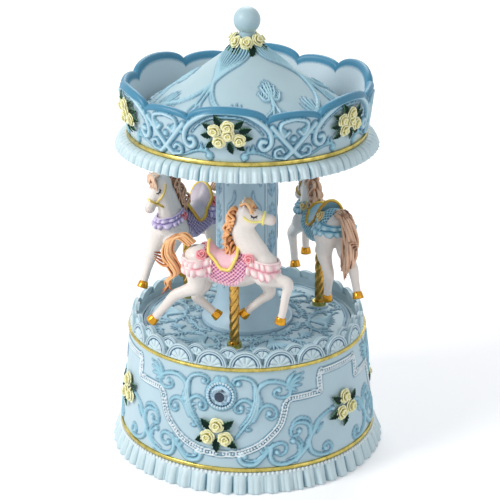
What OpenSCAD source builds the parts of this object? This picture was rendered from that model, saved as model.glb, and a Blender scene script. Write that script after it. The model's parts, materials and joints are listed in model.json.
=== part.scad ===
// Carousel music box: a wind-up movement in a round drum turns a deck with three horses and a tented canopy.
// Millimetres, +Z up. The origin is the middle of the resting face.
// Azimuth 0 looks along -Y and grows towards +X.

/* [Base drum] */
// Outer radius of the drum wall where it leaves the foot
drum_low_r = 48.6; // [48:0.1:50]
// Outer radius of the drum wall at its top
drum_top_r = 44.7; // [44.4:0.1:45.4]
// Height of the drum wall
drum_h = 46.9; // [46.6:0.1:52]
// Thickness of the drum wall at its top, around the hollow that holds the movement
drum_wall = 3.2; // [2.8:0.1:3.4]
// Width of the standing foot, around the recess under the drum
foot_w = 4.1; // [3.2:0.1:4.5]
// How far the plain foot behind the ruffle stands back from the drum wall
foot_step = 1.5; // [1.2:0.1:2]
// Thickness of the floor that closes the drum under the deck
floor_t = 3; // [2.4:0.1:3.4]
// Depth of the floor below the top of the drum wall
floor_drop = 1.9; // [1.5:0.1:2.2]
// Radius of the screw pillars inside the drum
pillar_r = 3; // [2.6:0.1:3.2]
// Radius of a strand of the cast scrollwork, half sunk in its wall
relief_r = 1; // [0.7:0.1:1.2]
// Radius of the beaded frame on the drum, half of which is sunk in
frame_r = 0.8; // [0.5:0.1:1]

/* [Base ruffle] */
// How far the ruffle stands out beyond the drum wall at the table
ruffle_out = 3.4; // [2:0.1:5]
// Height of the ruffle
ruffle_h = 7.6; // [6:0.1:9]
// Number of pleats, a multiple of four
ruffle_pleats = 48; // [40:4:56]
// Depth of a pleat
ruffle_wave = 0.7; // [0.3:0.1:1]

/* [Gilt bands] */
// Height of the band above the ruffle
low_band_h = 1.6; // [1.2:0.1:2]
// Height of the band at the top of the drum
top_band_h = 1.4; // [1:0.1:1.8]
// Height of the band under the crown
crown_band_h = 1.5; // [1:0.1:2]
// How far a band stands proud of the wall behind it
band_proud = 0.8; // [0.5:0.1:1.2]

/* [Parapet] */
// Height of the parapet above the drum wall
parapet_h = 8.2; // [7:0.1:9]
// Thickness of the parapet, inwards from the top of the drum wall
parapet_t = 4.5; // [4.2:0.1:4.6]
// Number of fans around the parapet
fan_count = 22; // [18:1:26]
// Radius of one fan
fan_r = 5.9; // [5.2:0.1:6.1]
// Radius of the rounded bumps that stand behind the gaps between the fans
bump_r = 3.6; // [3:0.1:4.2]
// Azimuth of the first fan
fan_start = 11.1; // [0:0.1:16]

/* [Turntable] */
// Gap around the deck, inside the parapet
deck_side_gap = 0.7; // [0.5:0.1:1.5]
// Thickness of the deck
deck_t = 2.9; // [2.5:0.1:3.5]
// Running gap between the drum floor and the deck
deck_gap = 0.6; // [0.5:0.1:0.8]
// Radius of the round pad under each pole
pad_r = 3.6; // [3.2:0.1:4.2]
// Height of the round pad under each pole
pad_h = 0.8; // [0.5:0.1:1.2]

/* [Column] */
// Radius of the column
column_r = 11.4; // [10:0.1:12.5]
// Radius of the flared foot of the column
column_foot_r = 17.3; // [15:0.1:19]
// Height of the flared foot
column_flare_h = 13.5; // [10:0.1:17]
// Height of the column from the deck to the canopy
column_h = 72.7; // [72:0.1:76]
// Radius of the bore in the column
column_bore_r = 8; // [7:0.1:8.5]

/* [Horses and poles] */
// Radius of the circle that the poles stand on
pole_circle_r = 30; // [29:0.1:30.5]
// Radius of a pole
pole_r = 1.85; // [1.5:0.05:2]
// Height of a pole above its pad
pole_h = 27; // [26.5:0.1:27.5]
// Depth of the pole's socket in the deck
pole_socket = 2; // [1.5:0.1:2.4]
// Radius of the ferrule at the pole's foot
ferrule_r = 2.7; // [2.4:0.1:3.1]
// Height of the ferrule
ferrule_h = 1.6; // [1.2:0.1:2.2]
// Azimuth of the first horse at rest
rotor_rest = 3; // [0:1:10]

/* [Canopy] */
// Thickness of the canopy's ceiling disc
ceiling_t = 3.5; // [3:0.1:4.5]
// Height of the gathered skirt under the crown
skirt_h = 4.9; // [4:0.1:6]
// How far the gathered skirt stands out beyond the crown's foot
skirt_out = 5; // [3.8:0.1:6]
// Number of pleats of the skirt, a multiple of four
skirt_pleats = 60; // [48:4:72]
// Depth of a pleat of the skirt
skirt_wave = 0.5; // [0.2:0.1:0.8]
// Outer radius of the crown wall at its foot
crown_low_r = 43.4; // [43.2:0.1:44]
// How far the crown wall leans out up to its valleys
crown_flare = 2.2; // [1.6:0.1:3.6]
// Thickness of the crown wall
crown_wall = 2.2; // [1.8:0.1:2.3]
// Height of the crown wall in the valleys between its scallops
crown_valley_h = 15.5; // [14:0.1:18]
// Height of a wide scallop above the valleys
wide_scallop_h = 4.8; // [3:0.1:6]
// Height of a narrow scallop above the valleys
narrow_scallop_h = 2.4; // [1.5:0.1:3.5]
// Half the width of a wide scallop, in degrees
wide_scallop_a = 17.8; // [16:0.1:19]
// Radius of the rounded rim along the scallops
rim_r = 1.5; // [1.2:0.1:1.8]
// Height of the tent roof's eaves above the ceiling
eaves_h = 4.8; // [4:0.1:6]
// Height of the tent roof from its eaves to its neck
roof_h = 28.5; // [26:0.1:31]
// Thickness of the tent roof
roof_t = 1.8; // [1.4:0.1:2.2]
// Radius of the neck at the top of the roof
neck_r = 3; // [2.6:0.1:3.6]
// Radius of the ball finial
ball_r = 4.9; // [4.4:0.1:5.6]

/* [Flowers and crystals] */
// Radius of a rose on the crown
crown_rose_r = 1.8; // [1.6:0.1:1.9]
// Radius of a rose on the drum
drum_rose_r = 2.4; // [2:0.1:2.6]
// Radius of a rose at the finial
finial_rose_r = 2; // [1.7:0.1:2.2]
// Thickness of a leaf
leaf_t = 0.6; // [0.4:0.1:0.8]
// Radius of a crystal
crystal_r = 4.3; // [3.8:0.1:4.6]
// Radius of the bead ring around a crystal
setting_r = 0.55; // [0.45:0.05:0.7]

/* [Base plate and key] */
// Height of the bottom plate above the table
plate_z = 12; // [11.6:0.1:13]
// Thickness of the bottom plate
plate_t = 2; // [1.6:0.1:2.4]
// Radius of the winding arbor
arbor_r = 1.5; // [1.3:0.05:1.6]
// Radius of each wing of the key
key_wing_r = 4.7; // [4:0.1:5]
// Distance of each wing from the arbor
key_reach = 6.8; // [6:0.1:8]
// Thickness of the key's wings
key_t = 1.8; // [1.4:0.1:2.4]
// Radius of the key's boss
key_boss_r = 2.8; // [2.5:0.1:3.2]

/* [Movement] */
// Thickness of the bedplate
bed_t = 2; // [1.6:0.1:2.4]
// Radius of the spring barrel
barrel_r = 12.1; // [11.9:0.1:12.1]
// Free height between the pin cylinder and the floor above it
movement_gap = 2.5; // [2.2:0.1:5]
// Wall of the spring barrel
barrel_wall = 1.2; // [1:0.1:1.3]
// Radius of the drive shaft
shaft_r = 2; // [1.7:0.1:2.2]
// Radius of the cylinder's body
cylinder_r = 5.2; // [4.8:0.1:5.3]
// Length of the cylinder's body
cylinder_l = 14; // [13:0.1:14]
// Length of a pin beyond the cylinder's body
pin_l = 0.5; // [0.4:0.05:0.5]
// Number of teeth of the comb
comb_teeth = 18; // [14:1:18]
// Thickness of the comb
comb_t = 0.8; // [0.6:0.1:1]
// Reach of the comb's plate behind its teeth
comb_back = 6; // [5:0.1:6.5]
// Radius of the fly's blades
fly_r = 3.3; // [2.8:0.1:3.5]
// Height of the fly's blades
fly_h = 6; // [5:0.1:7]

/* [Fits] */
// Running clearance around a shaft, on the radius
run_fit = 0.05; // [0.03:0.01:0.08]
// Gap that separates glued ornaments from the wall
seat_gap = 0.03; // [0.02:0.01:0.1]
// Gap between a turning piece and its stop
end_gap = 0.3; // [0.2:0.05:0.4]

/* [Hidden] */

// Resolution of every true curve
fine = 96;
// A cut runs this far past the face it opens
past = 1;

// Heights, from the table up
floor_top = drum_h - floor_drop;
floor_low = floor_top - floor_t;
deck_z = floor_top + deck_gap;
deck_top = deck_z + deck_t;
pad_top = deck_top + pad_h;
canopy_z = deck_top + column_h;
ceiling_top = canopy_z + ceiling_t;
band_z = ceiling_top - crown_band_h;
valley_z = ceiling_top + crown_valley_h;
eaves_z = ceiling_top + eaves_h;
neck_z = eaves_z + roof_h;
ball_z = neck_z + neck_r / 2 + ball_r;
plate_top = plate_z + plate_t;
bed_top = plate_top + bed_t;

// Drum wall
cavity_r = drum_top_r - drum_wall;
foot_r = drum_low_r - foot_step;
recess_r = foot_r - foot_w;
ruffle_r = drum_low_r + ruffle_out;
pillar_circle_r = cavity_r - pillar_r - 0.2;
parapet_in_r = drum_top_r - parapet_t;
deck_r = parapet_in_r - deck_side_gap;
drum_lean = atan((drum_low_r - drum_top_r) / (drum_h - ruffle_h));
function drum_r(z) = drum_low_r - (z - ruffle_h) * tan(drum_lean);
pillar_azimuths = [60, 180, 300];

// Crown wall
crown_lean = atan(crown_flare / crown_valley_h);
function crown_r(z) = crown_low_r + (z - ceiling_top) * tan(crown_lean);
crown_seat_r = crown_low_r - crown_wall;
skirt_r = crown_low_r + skirt_out;
roof_r = crown_seat_r - seat_gap;

// Flower places: azimuth and height above the drum's foot, then the offset to each rose
gem_azimuths = [0, 120, 240];
gem_z = drum_h - 10;
gem_roses = [[-1.2, gem_z - 11.3], [-5.7, gem_z - 17.3], [2.6, gem_z - 16.5]];
side_roses = [[1.6, gem_z - 7.7], [-2, gem_z - 13.3], [5.2, gem_z - 12.5]];
gem_leaves_z = gem_z - 15;
side_leaves_z = gem_z - 10.8;
crown_cluster = [[-4.4, 2.3], [0.5, 3.1], [-2.7, -2.5], [4.6, -1.2], [0.9, 0.3]];
crown_cluster_z = crown_valley_h - 5.3;
finial_rose_count = 8;
finial_rose_ring = neck_r + 2.6;
finial_leaf_out = 2.6;

// Scrollwork of one sixth of the drum: azimuth from the crystal and share of the wall's height
drum_strands = [
    [[10.4, 0.44], [14.6, 0.57], [16.4, 0.79], [13.2, 0.91], [7, 0.9]],
    [[16.6, 0.79], [21, 0.87], [28.5, 0.86], [31.7, 0.76], [26.5, 0.73]],
    [[14.7, 0.51], [20.5, 0.65], [25, 0.57]],
    [[8.9, 0.12], [14, 0.07], [21, 0.23], [27, 0.26], [28.9, 0.18]],
    [[33.6, 0.08], [40.2, 0.25], [40.2, 0.4], [34, 0.44], [33.2, 0.33]],
    [[39.3, 0.23], [45, 0.41], [50, 0.46]],
    [[40, 0.25], [44.8, 0.07], [51.8, 0.1], [49.2, 0.18]],
    [[15.7, 0.65], [11.7, 0.7], [9.4, 0.7]]];
// Beaded frame of the same sixth
frame_strand = [[1.5, 0.17], [8.6, 0.19], [21.9, 0.34], [28.5, 0.55], [32.2, 0.69], [46.6, 0.71], [48, 0.87],
    [60, 0.88]];

// Scrollwork of one sixth of the crown: azimuth from a wide scallop and share of the height up to the valleys
crown_strands = [
    [[8, 1.1], [15.5, 0.9], [19.6, 0.56], [17, 0.3]],
    [[7.4, 0.16], [13, 0.23], [19.3, 0.12]],
    [[20, 0.82], [32.5, 0.12]]];

// Azimuth of the first knot of the garlands on the roof
knot_a = -27;
// Gathers and garlands of one sixth of the roof: azimuth from a knot and share of the way down from the neck
roof_strands = [
    [[4, 0.28], [0, 0.42]],
    [[16, 0.27], [0, 0.42]],
    [[0, 0.42], [9, 0.56], [20, 0.68], [38, 0.79], [54, 0.87]],
    [[60, 0.52], [60, 0.34]],
    [[60, 0.52], [48, 0.38]],
    [[60, 0.52], [60, 0.7]]];

// Movement: wheel sizes and places
crown_teeth = 48;
crown_mean_r = barrel_r - barrel_wall / 2;
pinion_teeth = 16;
pinion_r = crown_mean_r * pinion_teeth / crown_teeth;
tooth_add = 0.42;
tooth_ded = 0.6;
barrel_z = bed_top + 1;
barrel_h = floor_low - movement_gap - pin_l - cylinder_r - pinion_r - tooth_ded - barrel_z;
barrel_top = barrel_z + barrel_h;
crown_pitch_z = barrel_top + tooth_ded;
axle_z = crown_pitch_z + pinion_r;
cylinder_x = barrel_r + 1.9;
post_t = 1.2;
axle_r = 1;
train_module = 0.4;
train_teeth = 36;
train_pinion = 12;
train_add = 0.36;
train_ded = 0.5;
train_gap = (train_teeth + train_pinion) * train_module / 2;
gear_t = 1.2;
gear_x = cylinder_x + cylinder_l + 1;
far_post_x = gear_x + gear_t + 0.8;
worm_module = 0.5;
worm_teeth = 20;
worm_starts = 2;
wheel_r = worm_teeth * worm_module / 2;
wheel_x = far_post_x + post_t + 1.1;
wheel_t = 0.8;
governor_r = 0.7;
governor_y = train_gap;
bracket_x = gear_x - 2.6;
bracket_end_x = wheel_x + 2.5;
worm_r = 1.4;
worm_core_r = 0.85;
worm_tip_r = 1.85;
worm_lead = worm_starts * PI * worm_module;
worm_y = governor_y + wheel_r + worm_r;
worm_shaft_r = 0.5;
worm_top = axle_z + wheel_r + 1;
bracket_t = 1.2;
fly_z = bed_top + bracket_t + 2;
comb_gap = 0.1;
comb_tip_y = cylinder_r + pin_l + comb_gap;
comb_l = 10;
comb_y = comb_tip_y + comb_l;
comb_end_y = comb_y + comb_back;
bushing_r = shaft_r + 2;
bushing_flange = 0.3;
hub_r = 4.5;
hub_flange_r = 7.6;
hub_flange_t = 1.3;
hub_h = 6.5;
hub_screw_circle = 6;
key_z = 6;
key_boss_top = plate_z - end_gap;

// Screws: shank radius, head radius and head height
wood_screw = [1.2, 2.4, 1.2];
small_screw = [0.8, 1.6, 0.8];
hub_screw = [0.5, 0.9, 0.5];
wood_screw_l = 8;
bed_screws = [[-9, -14], [-9, 14], [21, 14]];

// ---------- shared shapes ----------

// Places children at an azimuth, a radius and a height, with +X along growing azimuth and -Y outwards
module at(a, r, z) {
    rotate([0, 0, a]) translate([0, -r, z]) children();
}

// Places children on the drum wall: +X along growing azimuth, +Y up the wall, +Z outwards
module on_drum(a, z) {
    at(a, drum_r(z) + seat_gap, z) rotate([90 - drum_lean, 0, 0]) children();
}

// The same on the crown's wall, which leans outwards
module on_crown(a, z) {
    at(a, crown_r(z) + seat_gap, z) rotate([90 + crown_lean, 0, 0]) children();
}

// Ring whose cross-section, a list of [radius, height], follows the azimuth.
// All its sections have the same length.
module shaped_ring(steps, section) {
    rings = [for (i = [0 : steps - 1]) section(i * 360 / steps)];
    n = len(rings[0]);
    points = [for (i = [0 : steps - 1]) let (a = i * 360 / steps) for (p = rings[i])
        [p[0] * sin(a), -p[0] * cos(a), p[1]]];
    faces = [for (i = [0 : steps - 1]) for (k = [0 : n - 1]) let (j = (i + 1) % steps, l = (k + 1) % n)
        for (f = [[i * n + k, i * n + l, j * n + k], [i * n + l, j * n + l, j * n + k]]) f];
    polyhedron(points, faces);
}

// Ring turned from a profile of [radius, height] points
module turned(profile) {
    rotate_extrude($fn = fine) polygon(profile);
}

// Half-round band: inner radii at its foot and top, its foot height, its height and how far it stands proud
module gilt_band(foot_r, top_r, z, h) {
    steps = 8;
    mid_r = (foot_r + top_r) / 2;
    turned(concat([[foot_r, z]],
        [for (i = [1 : steps - 1]) let (a = -90 + i * 180 / steps)
            [mid_r + band_proud * (0.35 + 0.65 * cos(a)), z + h / 2 + h / 2 * sin(a)]],
        [[top_r, z + h]]));
}

// Rose seen from above: a turned bud with a flat back
module rose(r) {
    turned([[0, 0], [r, 0], [r, 0.35 * r], [0.85 * r, 0.7 * r], [0.55 * r, 0.95 * r], [0.3 * r, 0.8 * r],
        [0, 0.8 * r]]);
}

// Pointed leaf lying flat, along +X from the origin
module leaf(l, w) {
    arc_r = (l * l / 4 + w * w / 4) / w;
    linear_extrude(leaf_t) translate([l / 2, 0]) intersection() {
        translate([0, arc_r - w / 2]) circle(arc_r, $fn = fine);
        translate([0, w / 2 - arc_r]) circle(arc_r, $fn = fine);
    }
}

// Screw with its head below z = 0 and its shank above it
module screw(s, l) {
    difference() {
        translate([0, 0, -s[2]]) cylinder(h = s[2], r = s[1], $fn = fine);
        translate([-s[1] - past, -s[0] / 4, -s[2] - past])
            cube([2 * (s[1] + past), s[0] / 2, s[2] / 2 + past]);
    }
    cylinder(h = l, r = s[0], $fn = fine);
}

// Outline of a spur wheel with straight-sided teeth that leave running play
module gear_outline(teeth, pitch_r, add, ded, phase) {
    step = 360 / teeth;
    polygon([for (i = [0 : teeth - 1]) for (p = [[-0.24, -ded], [-0.11, add], [0.11, add], [0.24, -ded]])
        let (a = phase + (i + p[0]) * step, r = pitch_r + p[1]) [r * cos(a), r * sin(a)]]);
}

// Places children along the cylinder's axle, +Z becoming +X
module along_axle(x, y) {
    translate([x, y, axle_z]) rotate([0, 90, 0]) children();
}

// Chain of rounded limbs through [x, y, z, radius] points
module limb(points) {
    for (i = [0 : len(points) - 2])
        hull() {
            for (p = [points[i], points[i + 1]])
                translate([p[0], p[1], p[2]]) sphere(p[3], $fn = 10);
        }
}

// Six-sided rod between two points
module rod(p, q, r) {
    run = q - p;
    l = norm(run);
    translate(p) rotate([0, acos(run[2] / l), atan2(run[1], run[0])]) translate([0, 0, -0.2 * r])
        cylinder(h = l + 0.4 * r, r = r, $fn = 6);
}

// Point of the drum wall at an azimuth and a share of its height
function drum_point(a, share) = let (z = ruffle_h + (drum_h - ruffle_h) * share)
    [drum_r(z) * sin(a), -drum_r(z) * cos(a), z];

module drum_strand(a, side, strand, r) {
    for (i = [0 : len(strand) - 2])
        rod(drum_point(a + side * strand[i][0], strand[i][1]),
            drum_point(a + side * strand[i + 1][0], strand[i + 1][1]), r);
}

module drum_scrollwork() {
    for (a = gem_azimuths)
        for (side = [-1, 1]) {
            for (strand = drum_strands)
                drum_strand(a, side, strand, relief_r);
            drum_strand(a, side, frame_strand, frame_r);
        }
}

// ---------- base ----------

module base_drum() {
    color("lightblue") difference() {
        union() {
            drum_scrollwork();
            difference() {
                turned([[0, 0], [foot_r, 0], [foot_r, ruffle_h], [drum_low_r, ruffle_h], [drum_top_r, drum_h],
                    [0, drum_h]]);
                translate([0, 0, -past]) cylinder(h = plate_top + past, r = recess_r, $fn = fine);
                cylinder(h = floor_low, r = cavity_r, $fn = fine);
                translate([0, 0, floor_top]) cylinder(h = drum_h, r = parapet_in_r, $fn = fine);
            }
            for (a = pillar_azimuths)
                at(a, pillar_circle_r, plate_top)
                    cylinder(h = floor_low - plate_top + past, r = pillar_r, $fn = fine);
        }
        cylinder(h = drum_h, r = bushing_r, $fn = fine);
        for (a = pillar_azimuths)
            at(a, pillar_circle_r, plate_top - past)
                cylinder(h = wood_screw_l + past, r = wood_screw[0], $fn = fine);
    }
}

module base_ruffle() {
    back_r = foot_r + seat_gap;
    color("lightskyblue") shaped_ring(ruffle_pleats * 4, function(a)
        let (w = ruffle_wave * cos(a * ruffle_pleats), h = ruffle_h - seat_gap)
        [[back_r, 0], [ruffle_r - ruffle_wave + w, 0], [ruffle_r - ruffle_wave - 0.7 + w, 0.3 * h],
            [drum_low_r + 0.9 + 0.6 * w, 0.7 * h], [drum_low_r + 0.4, h], [back_r, h]]);
}

module low_gilt_band() {
    z = ruffle_h;
    color("gold") gilt_band(drum_r(z) + seat_gap, drum_r(z + low_band_h) + seat_gap, z, low_band_h);
}

module top_gilt_band() {
    z = drum_h - 0.6 * top_band_h;
    color("gold") gilt_band(drum_r(z) + seat_gap, drum_r(z) + seat_gap, z, top_band_h);
}

module parapet() {
    pitch = 360 / fan_count;
    outer_r = drum_top_r - seat_gap;
    step_r = outer_r - 1.5;
    fan_z = drum_h + 0.6;
    shoulder = drum_h + parapet_h - bump_r;
    color("lightblue") rotate([0, 0, fan_start]) shaped_ring(fan_count * 10, function(a)
        let (off = a - pitch * round(a / pitch), s = off * PI / 180 * outer_r,
            b = pitch / 2 * PI / 180 * outer_r - abs(s),
            fan_top = fan_z + 0.85 * sqrt(max(0, fan_r * fan_r - s * s)),
            top = shoulder + sqrt(max(0, bump_r * bump_r - b * b)))
        [[parapet_in_r, drum_h], [outer_r, drum_h], [outer_r - 0.1, fan_top], [step_r, fan_top + 0.1],
            [step_r - 0.2, top - 0.4], [step_r - 1, top], [parapet_in_r, top - 0.4]]);
}

module crystals() {
    color("paleturquoise") for (a = gem_azimuths)
        on_drum(a, gem_z)
            turned([[0, 0], [crystal_r, 0], [crystal_r, 0.5], [0.62 * crystal_r, 1.7], [0, 1.7]]);
}

module crystal_settings() {
    ring_r = crystal_r + seat_gap + setting_r;
    color("lightsteelblue") for (a = gem_azimuths)
        on_drum(a, gem_z) translate([0, 0, setting_r]) rotate_extrude($fn = fine) translate([ring_r, 0])
            circle(setting_r, $fn = 24);
}

module drum_roses() {
    color("lemonchiffon") for (a = gem_azimuths) {
        for (p = gem_roses)
            on_drum(a + p[0], p[1]) translate([0, 0, leaf_t + seat_gap]) rose(drum_rose_r);
        for (p = side_roses)
            on_drum(a + 60 + p[0], p[1]) translate([0, 0, leaf_t + seat_gap]) rose(drum_rose_r);
    }
}

// Two sprays of leaves, each drawn around the middle of its rose cluster
module drum_leaves() {
    color("darkgreen") for (a = gem_azimuths) {
        on_drum(a - 1.4, gem_leaves_z) for (t = [100, 190, 350])
            rotate([0, 0, t]) translate([2.4, 0, 0]) leaf(5.2, 2.8);
        on_drum(a + 61, side_leaves_z) for (t = [20, 155, 265])
            rotate([0, 0, t]) translate([1.6, 0, 0]) leaf(5.2, 2.8);
    }
}

module bottom_plate() {
    color("dimgray") translate([0, 0, plate_z]) difference() {
        cylinder(h = plate_t, r = recess_r - end_gap / 3, $fn = fine);
        translate([0, 0, -past]) cylinder(h = plate_t + 2 * past, r = arbor_r + run_fit, $fn = fine);
        for (a = pillar_azimuths)
            at(a, pillar_circle_r, -past) cylinder(h = plate_t + 2 * past, r = wood_screw[0], $fn = fine);
        for (p = bed_screws)
            translate([p[0], p[1], -past]) cylinder(h = plate_t + 2 * past, r = small_screw[0], $fn = fine);
    }
}

module bottom_plate_screws() {
    color("silver") for (a = pillar_azimuths)
        at(a, pillar_circle_r, plate_z) screw(wood_screw, plate_t + wood_screw_l);
}

// ---------- movement, fixed pieces ----------

// Upright bearing post with a bore along X
module post(x, y, w, bore_r, foot_z) {
    difference() {
        translate([x, y - w / 2, foot_z]) cube([post_t, w, axle_z + w / 2 - foot_z]);
        along_axle(x - past, y) cylinder(h = post_t + 2 * past, r = bore_r, $fn = fine);
    }
}

module bedplate() {
    comb_x = cylinder_x;
    color("tan") difference() {
        union() {
            translate([0, 0, plate_top]) linear_extrude(bed_t) intersection() {
                circle(cavity_r - 0.6, $fn = fine);
                union() {
                    translate([-15, -comb_end_y]) square([cylinder_x + cylinder_l + 16, comb_end_y + 19]);
                    translate([cylinder_x, -6]) square([bracket_end_x + 2 - cylinder_x, worm_y + 9]);
                }
            }
            post(barrel_r + 0.4, 0, 6, axle_r + run_fit, bed_top);
            post(far_post_x, 0, 6, axle_r + run_fit, bed_top);
            translate([comb_x, -comb_end_y, bed_top])
                cube([cylinder_l, comb_back, axle_z - comb_t / 2 - bed_top]);
        }
        translate([0, 0, plate_top - past]) cylinder(h = bed_t + 2 * past, r = arbor_r + run_fit, $fn = fine);
        for (p = bed_screws)
            translate([p[0], p[1], plate_top - past])
                cylinder(h = bed_t + 2 * past, r = small_screw[0], $fn = fine);
        for (p = comb_screw_places())
            translate([p[0], p[1], axle_z - comb_t / 2 - 5])
                cylinder(h = 5 + past, r = small_screw[0], $fn = fine);
        for (p = governor_screw_places())
            translate([p[0], p[1], plate_top - past])
                cylinder(h = bed_t + 2 * past, r = small_screw[0], $fn = fine);
    }
}

function comb_screw_places() =
    [for (s = [0.22, 0.78]) [cylinder_x + s * cylinder_l, -comb_end_y + comb_back / 2]];
function governor_screw_places() = [[bracket_x + 4.2, governor_y + 0.5], [bracket_x + 4.2, worm_y]];

module bedplate_screws() {
    color("silver") for (p = bed_screws)
        translate([p[0], p[1], plate_z]) screw(small_screw, plate_t + bed_t);
}

module comb() {
    pitch = cylinder_l / comb_teeth;
    color("gainsboro") translate([0, 0, axle_z - comb_t / 2]) difference() {
        linear_extrude(comb_t) union() {
            translate([cylinder_x, -comb_end_y]) square([cylinder_l, comb_back]);
            for (i = [0 : comb_teeth - 1])
                translate([cylinder_x + (i + 0.1) * pitch, -comb_y - past])
                    square([0.8 * pitch, comb_l + past]);
        }
        for (p = comb_screw_places())
            translate([p[0], p[1], -past]) cylinder(h = comb_t + 2 * past, r = small_screw[0], $fn = fine);
    }
}

module comb_screws() {
    color("silver") for (p = comb_screw_places())
        translate([p[0], p[1], axle_z + comb_t / 2]) mirror([0, 0, 1]) screw(small_screw, comb_t + 5);
}

module governor_bracket() {
    w = 4.4;
    wall_z = bed_top + bracket_t;
    color("goldenrod") difference() {
        union() {
            translate([bracket_x, governor_y - w / 2, bed_top])
                cube([bracket_end_x + post_t - bracket_x, worm_y + 1.6 - governor_y + w / 2, bracket_t]);
            translate([bracket_x, governor_y - w / 2, wall_z - past])
                cube([post_t, w, axle_z + w / 2 - wall_z + past]);
            translate([bracket_end_x, governor_y - w / 2, wall_z - past])
                cube([post_t, w, worm_top + bracket_t - wall_z + past]);
            translate([wheel_x - 0.8, governor_y - w / 2, worm_top])
                cube([bracket_end_x + post_t - wheel_x + 0.8, worm_y + 1.4 - governor_y + w / 2, bracket_t]);
        }
        along_axle(bracket_x - past, governor_y)
            cylinder(h = bracket_end_x - bracket_x + 3 * past, r = governor_r + run_fit, $fn = fine);
        translate([wheel_x, worm_y, bed_top - past])
            cylinder(h = worm_top + bracket_t - bed_top + 2 * past, r = worm_shaft_r + run_fit, $fn = fine);
        for (p = governor_screw_places())
            translate([p[0], p[1], bed_top - past])
                cylinder(h = bracket_t + 2 * past, r = small_screw[0], $fn = fine);
    }
}

module governor_screws() {
    color("silver") for (p = governor_screw_places())
        translate([p[0], p[1], bed_top + bracket_t]) mirror([0, 0, 1]) screw(small_screw, bracket_t + bed_t);
}

module top_bushing() {
    color("goldenrod") difference() {
        union() {
            translate([0, 0, floor_low]) cylinder(h = floor_t, r = bushing_r, $fn = fine);
            translate([0, 0, floor_top]) cylinder(h = bushing_flange, r = bushing_r + 1.6, $fn = fine);
        }
        translate([0, 0, floor_low - past])
            cylinder(h = floor_t + bushing_flange + 2 * past, r = shaft_r + run_fit, $fn = fine);
    }
}

// ---------- winding ----------

module winding_key() {
    color("gold") difference() {
        union() {
            translate([0, 0, key_z - key_wing_r / 2])
                cylinder(h = key_boss_top - key_z + key_wing_r / 2, r = key_boss_r, $fn = fine);
            for (s = [-1, 1])
                translate([s * key_reach, key_t / 2, key_z]) rotate([90, 0, 0])
                    cylinder(h = key_t, r = key_wing_r, $fn = fine);
        }
        translate([0, 0, key_z]) cylinder(h = plate_z, r = arbor_r, $fn = fine);
        for (s = [-1, 1])
            translate([s * (key_reach + 0.6), key_t, key_z]) rotate([90, 0, 0])
                cylinder(h = 2 * key_t, r = key_wing_r * 0.42, $fn = fine);
    }
}

module winding_arbor() {
    color("silver") translate([0, 0, key_z]) cylinder(h = barrel_top - 3 - key_z, r = arbor_r, $fn = fine);
}

// ---------- turning pieces ----------

module spring_barrel() {
    step = 360 / crown_teeth;
    color("goldenrod") difference() {
        union() {
            translate([0, 0, barrel_z]) cylinder(h = barrel_h, r = barrel_r, $fn = fine);
            for (i = [0 : crown_teeth - 1])
                rotate([0, 0, i * step]) translate([barrel_r - barrel_wall, 0, barrel_top - 0.5])
                    rotate([90, 0, 90]) linear_extrude(barrel_wall)
                        polygon([[-0.36, 0], [0.36, 0], [0.16, 0.5 + tooth_ded + tooth_add],
                            [-0.16, 0.5 + tooth_ded + tooth_add]]);
        }
        translate([0, 0, barrel_z + 1]) cylinder(h = barrel_h + past, r = barrel_r - barrel_wall, $fn = fine);
        translate([0, 0, barrel_z - past]) cylinder(h = 1 + 2 * past, r = arbor_r + run_fit, $fn = fine);
    }
}

module barrel_cap() {
    color("goldenrod") translate([0, 0, barrel_top - 1.6]) difference() {
        cylinder(h = 1.2, r = barrel_r - barrel_wall, $fn = fine);
        translate([0, 0, -past]) cylinder(h = 1.2 + 2 * past, r = shaft_r, $fn = fine);
    }
}

module mainspring() {
    turns = 6;
    inner = arbor_r + 0.6;
    outer = barrel_r - barrel_wall - 0.5;
    t = 0.35;
    steps = turns * 24;
    path = [for (i = [0 : steps]) let (a = i * 15, r = inner + (outer - inner - t) * i / steps) [a, r]];
    color("slategray") translate([0, 0, barrel_z + 1.4]) linear_extrude(barrel_h - 4.6)
        polygon(concat([for (p = path) [p[1] * cos(p[0]), p[1] * sin(p[0])]],
            [for (i = [steps : -1 : 0]) let (p = path[i]) [(p[1] + t) * cos(p[0]), (p[1] + t) * sin(p[0])]]));
}

module drive_shaft() {
    color("silver") translate([0, 0, barrel_top - 1.6])
        cylinder(h = deck_z + hub_h - barrel_top + 1.6, r = shaft_r, $fn = fine);
}

module turntable_hub() {
    color("silver") difference() {
        union() {
            translate([0, 0, deck_z]) cylinder(h = hub_flange_t, r = hub_flange_r, $fn = fine);
            translate([0, 0, deck_z]) cylinder(h = hub_h + 1, r = hub_r, $fn = fine);
        }
        translate([0, 0, deck_z - past]) cylinder(h = hub_h + past, r = shaft_r, $fn = fine);
        for (a = pillar_azimuths) {
            at(a, hub_screw_circle, deck_z - past)
                cylinder(h = hub_flange_t + 2 * past, r = hub_screw[0], $fn = fine);
            at(a, hub_screw_circle, deck_z - past)
                cylinder(h = hub_screw[2] + past, r = hub_screw[1], $fn = fine);
        }
    }
}

module hub_screws() {
    color("silver") for (a = pillar_azimuths)
        at(a, hub_screw_circle, deck_z + hub_screw[2]) screw(hub_screw, deck_t - hub_screw[2] - 0.6);
}

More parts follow.
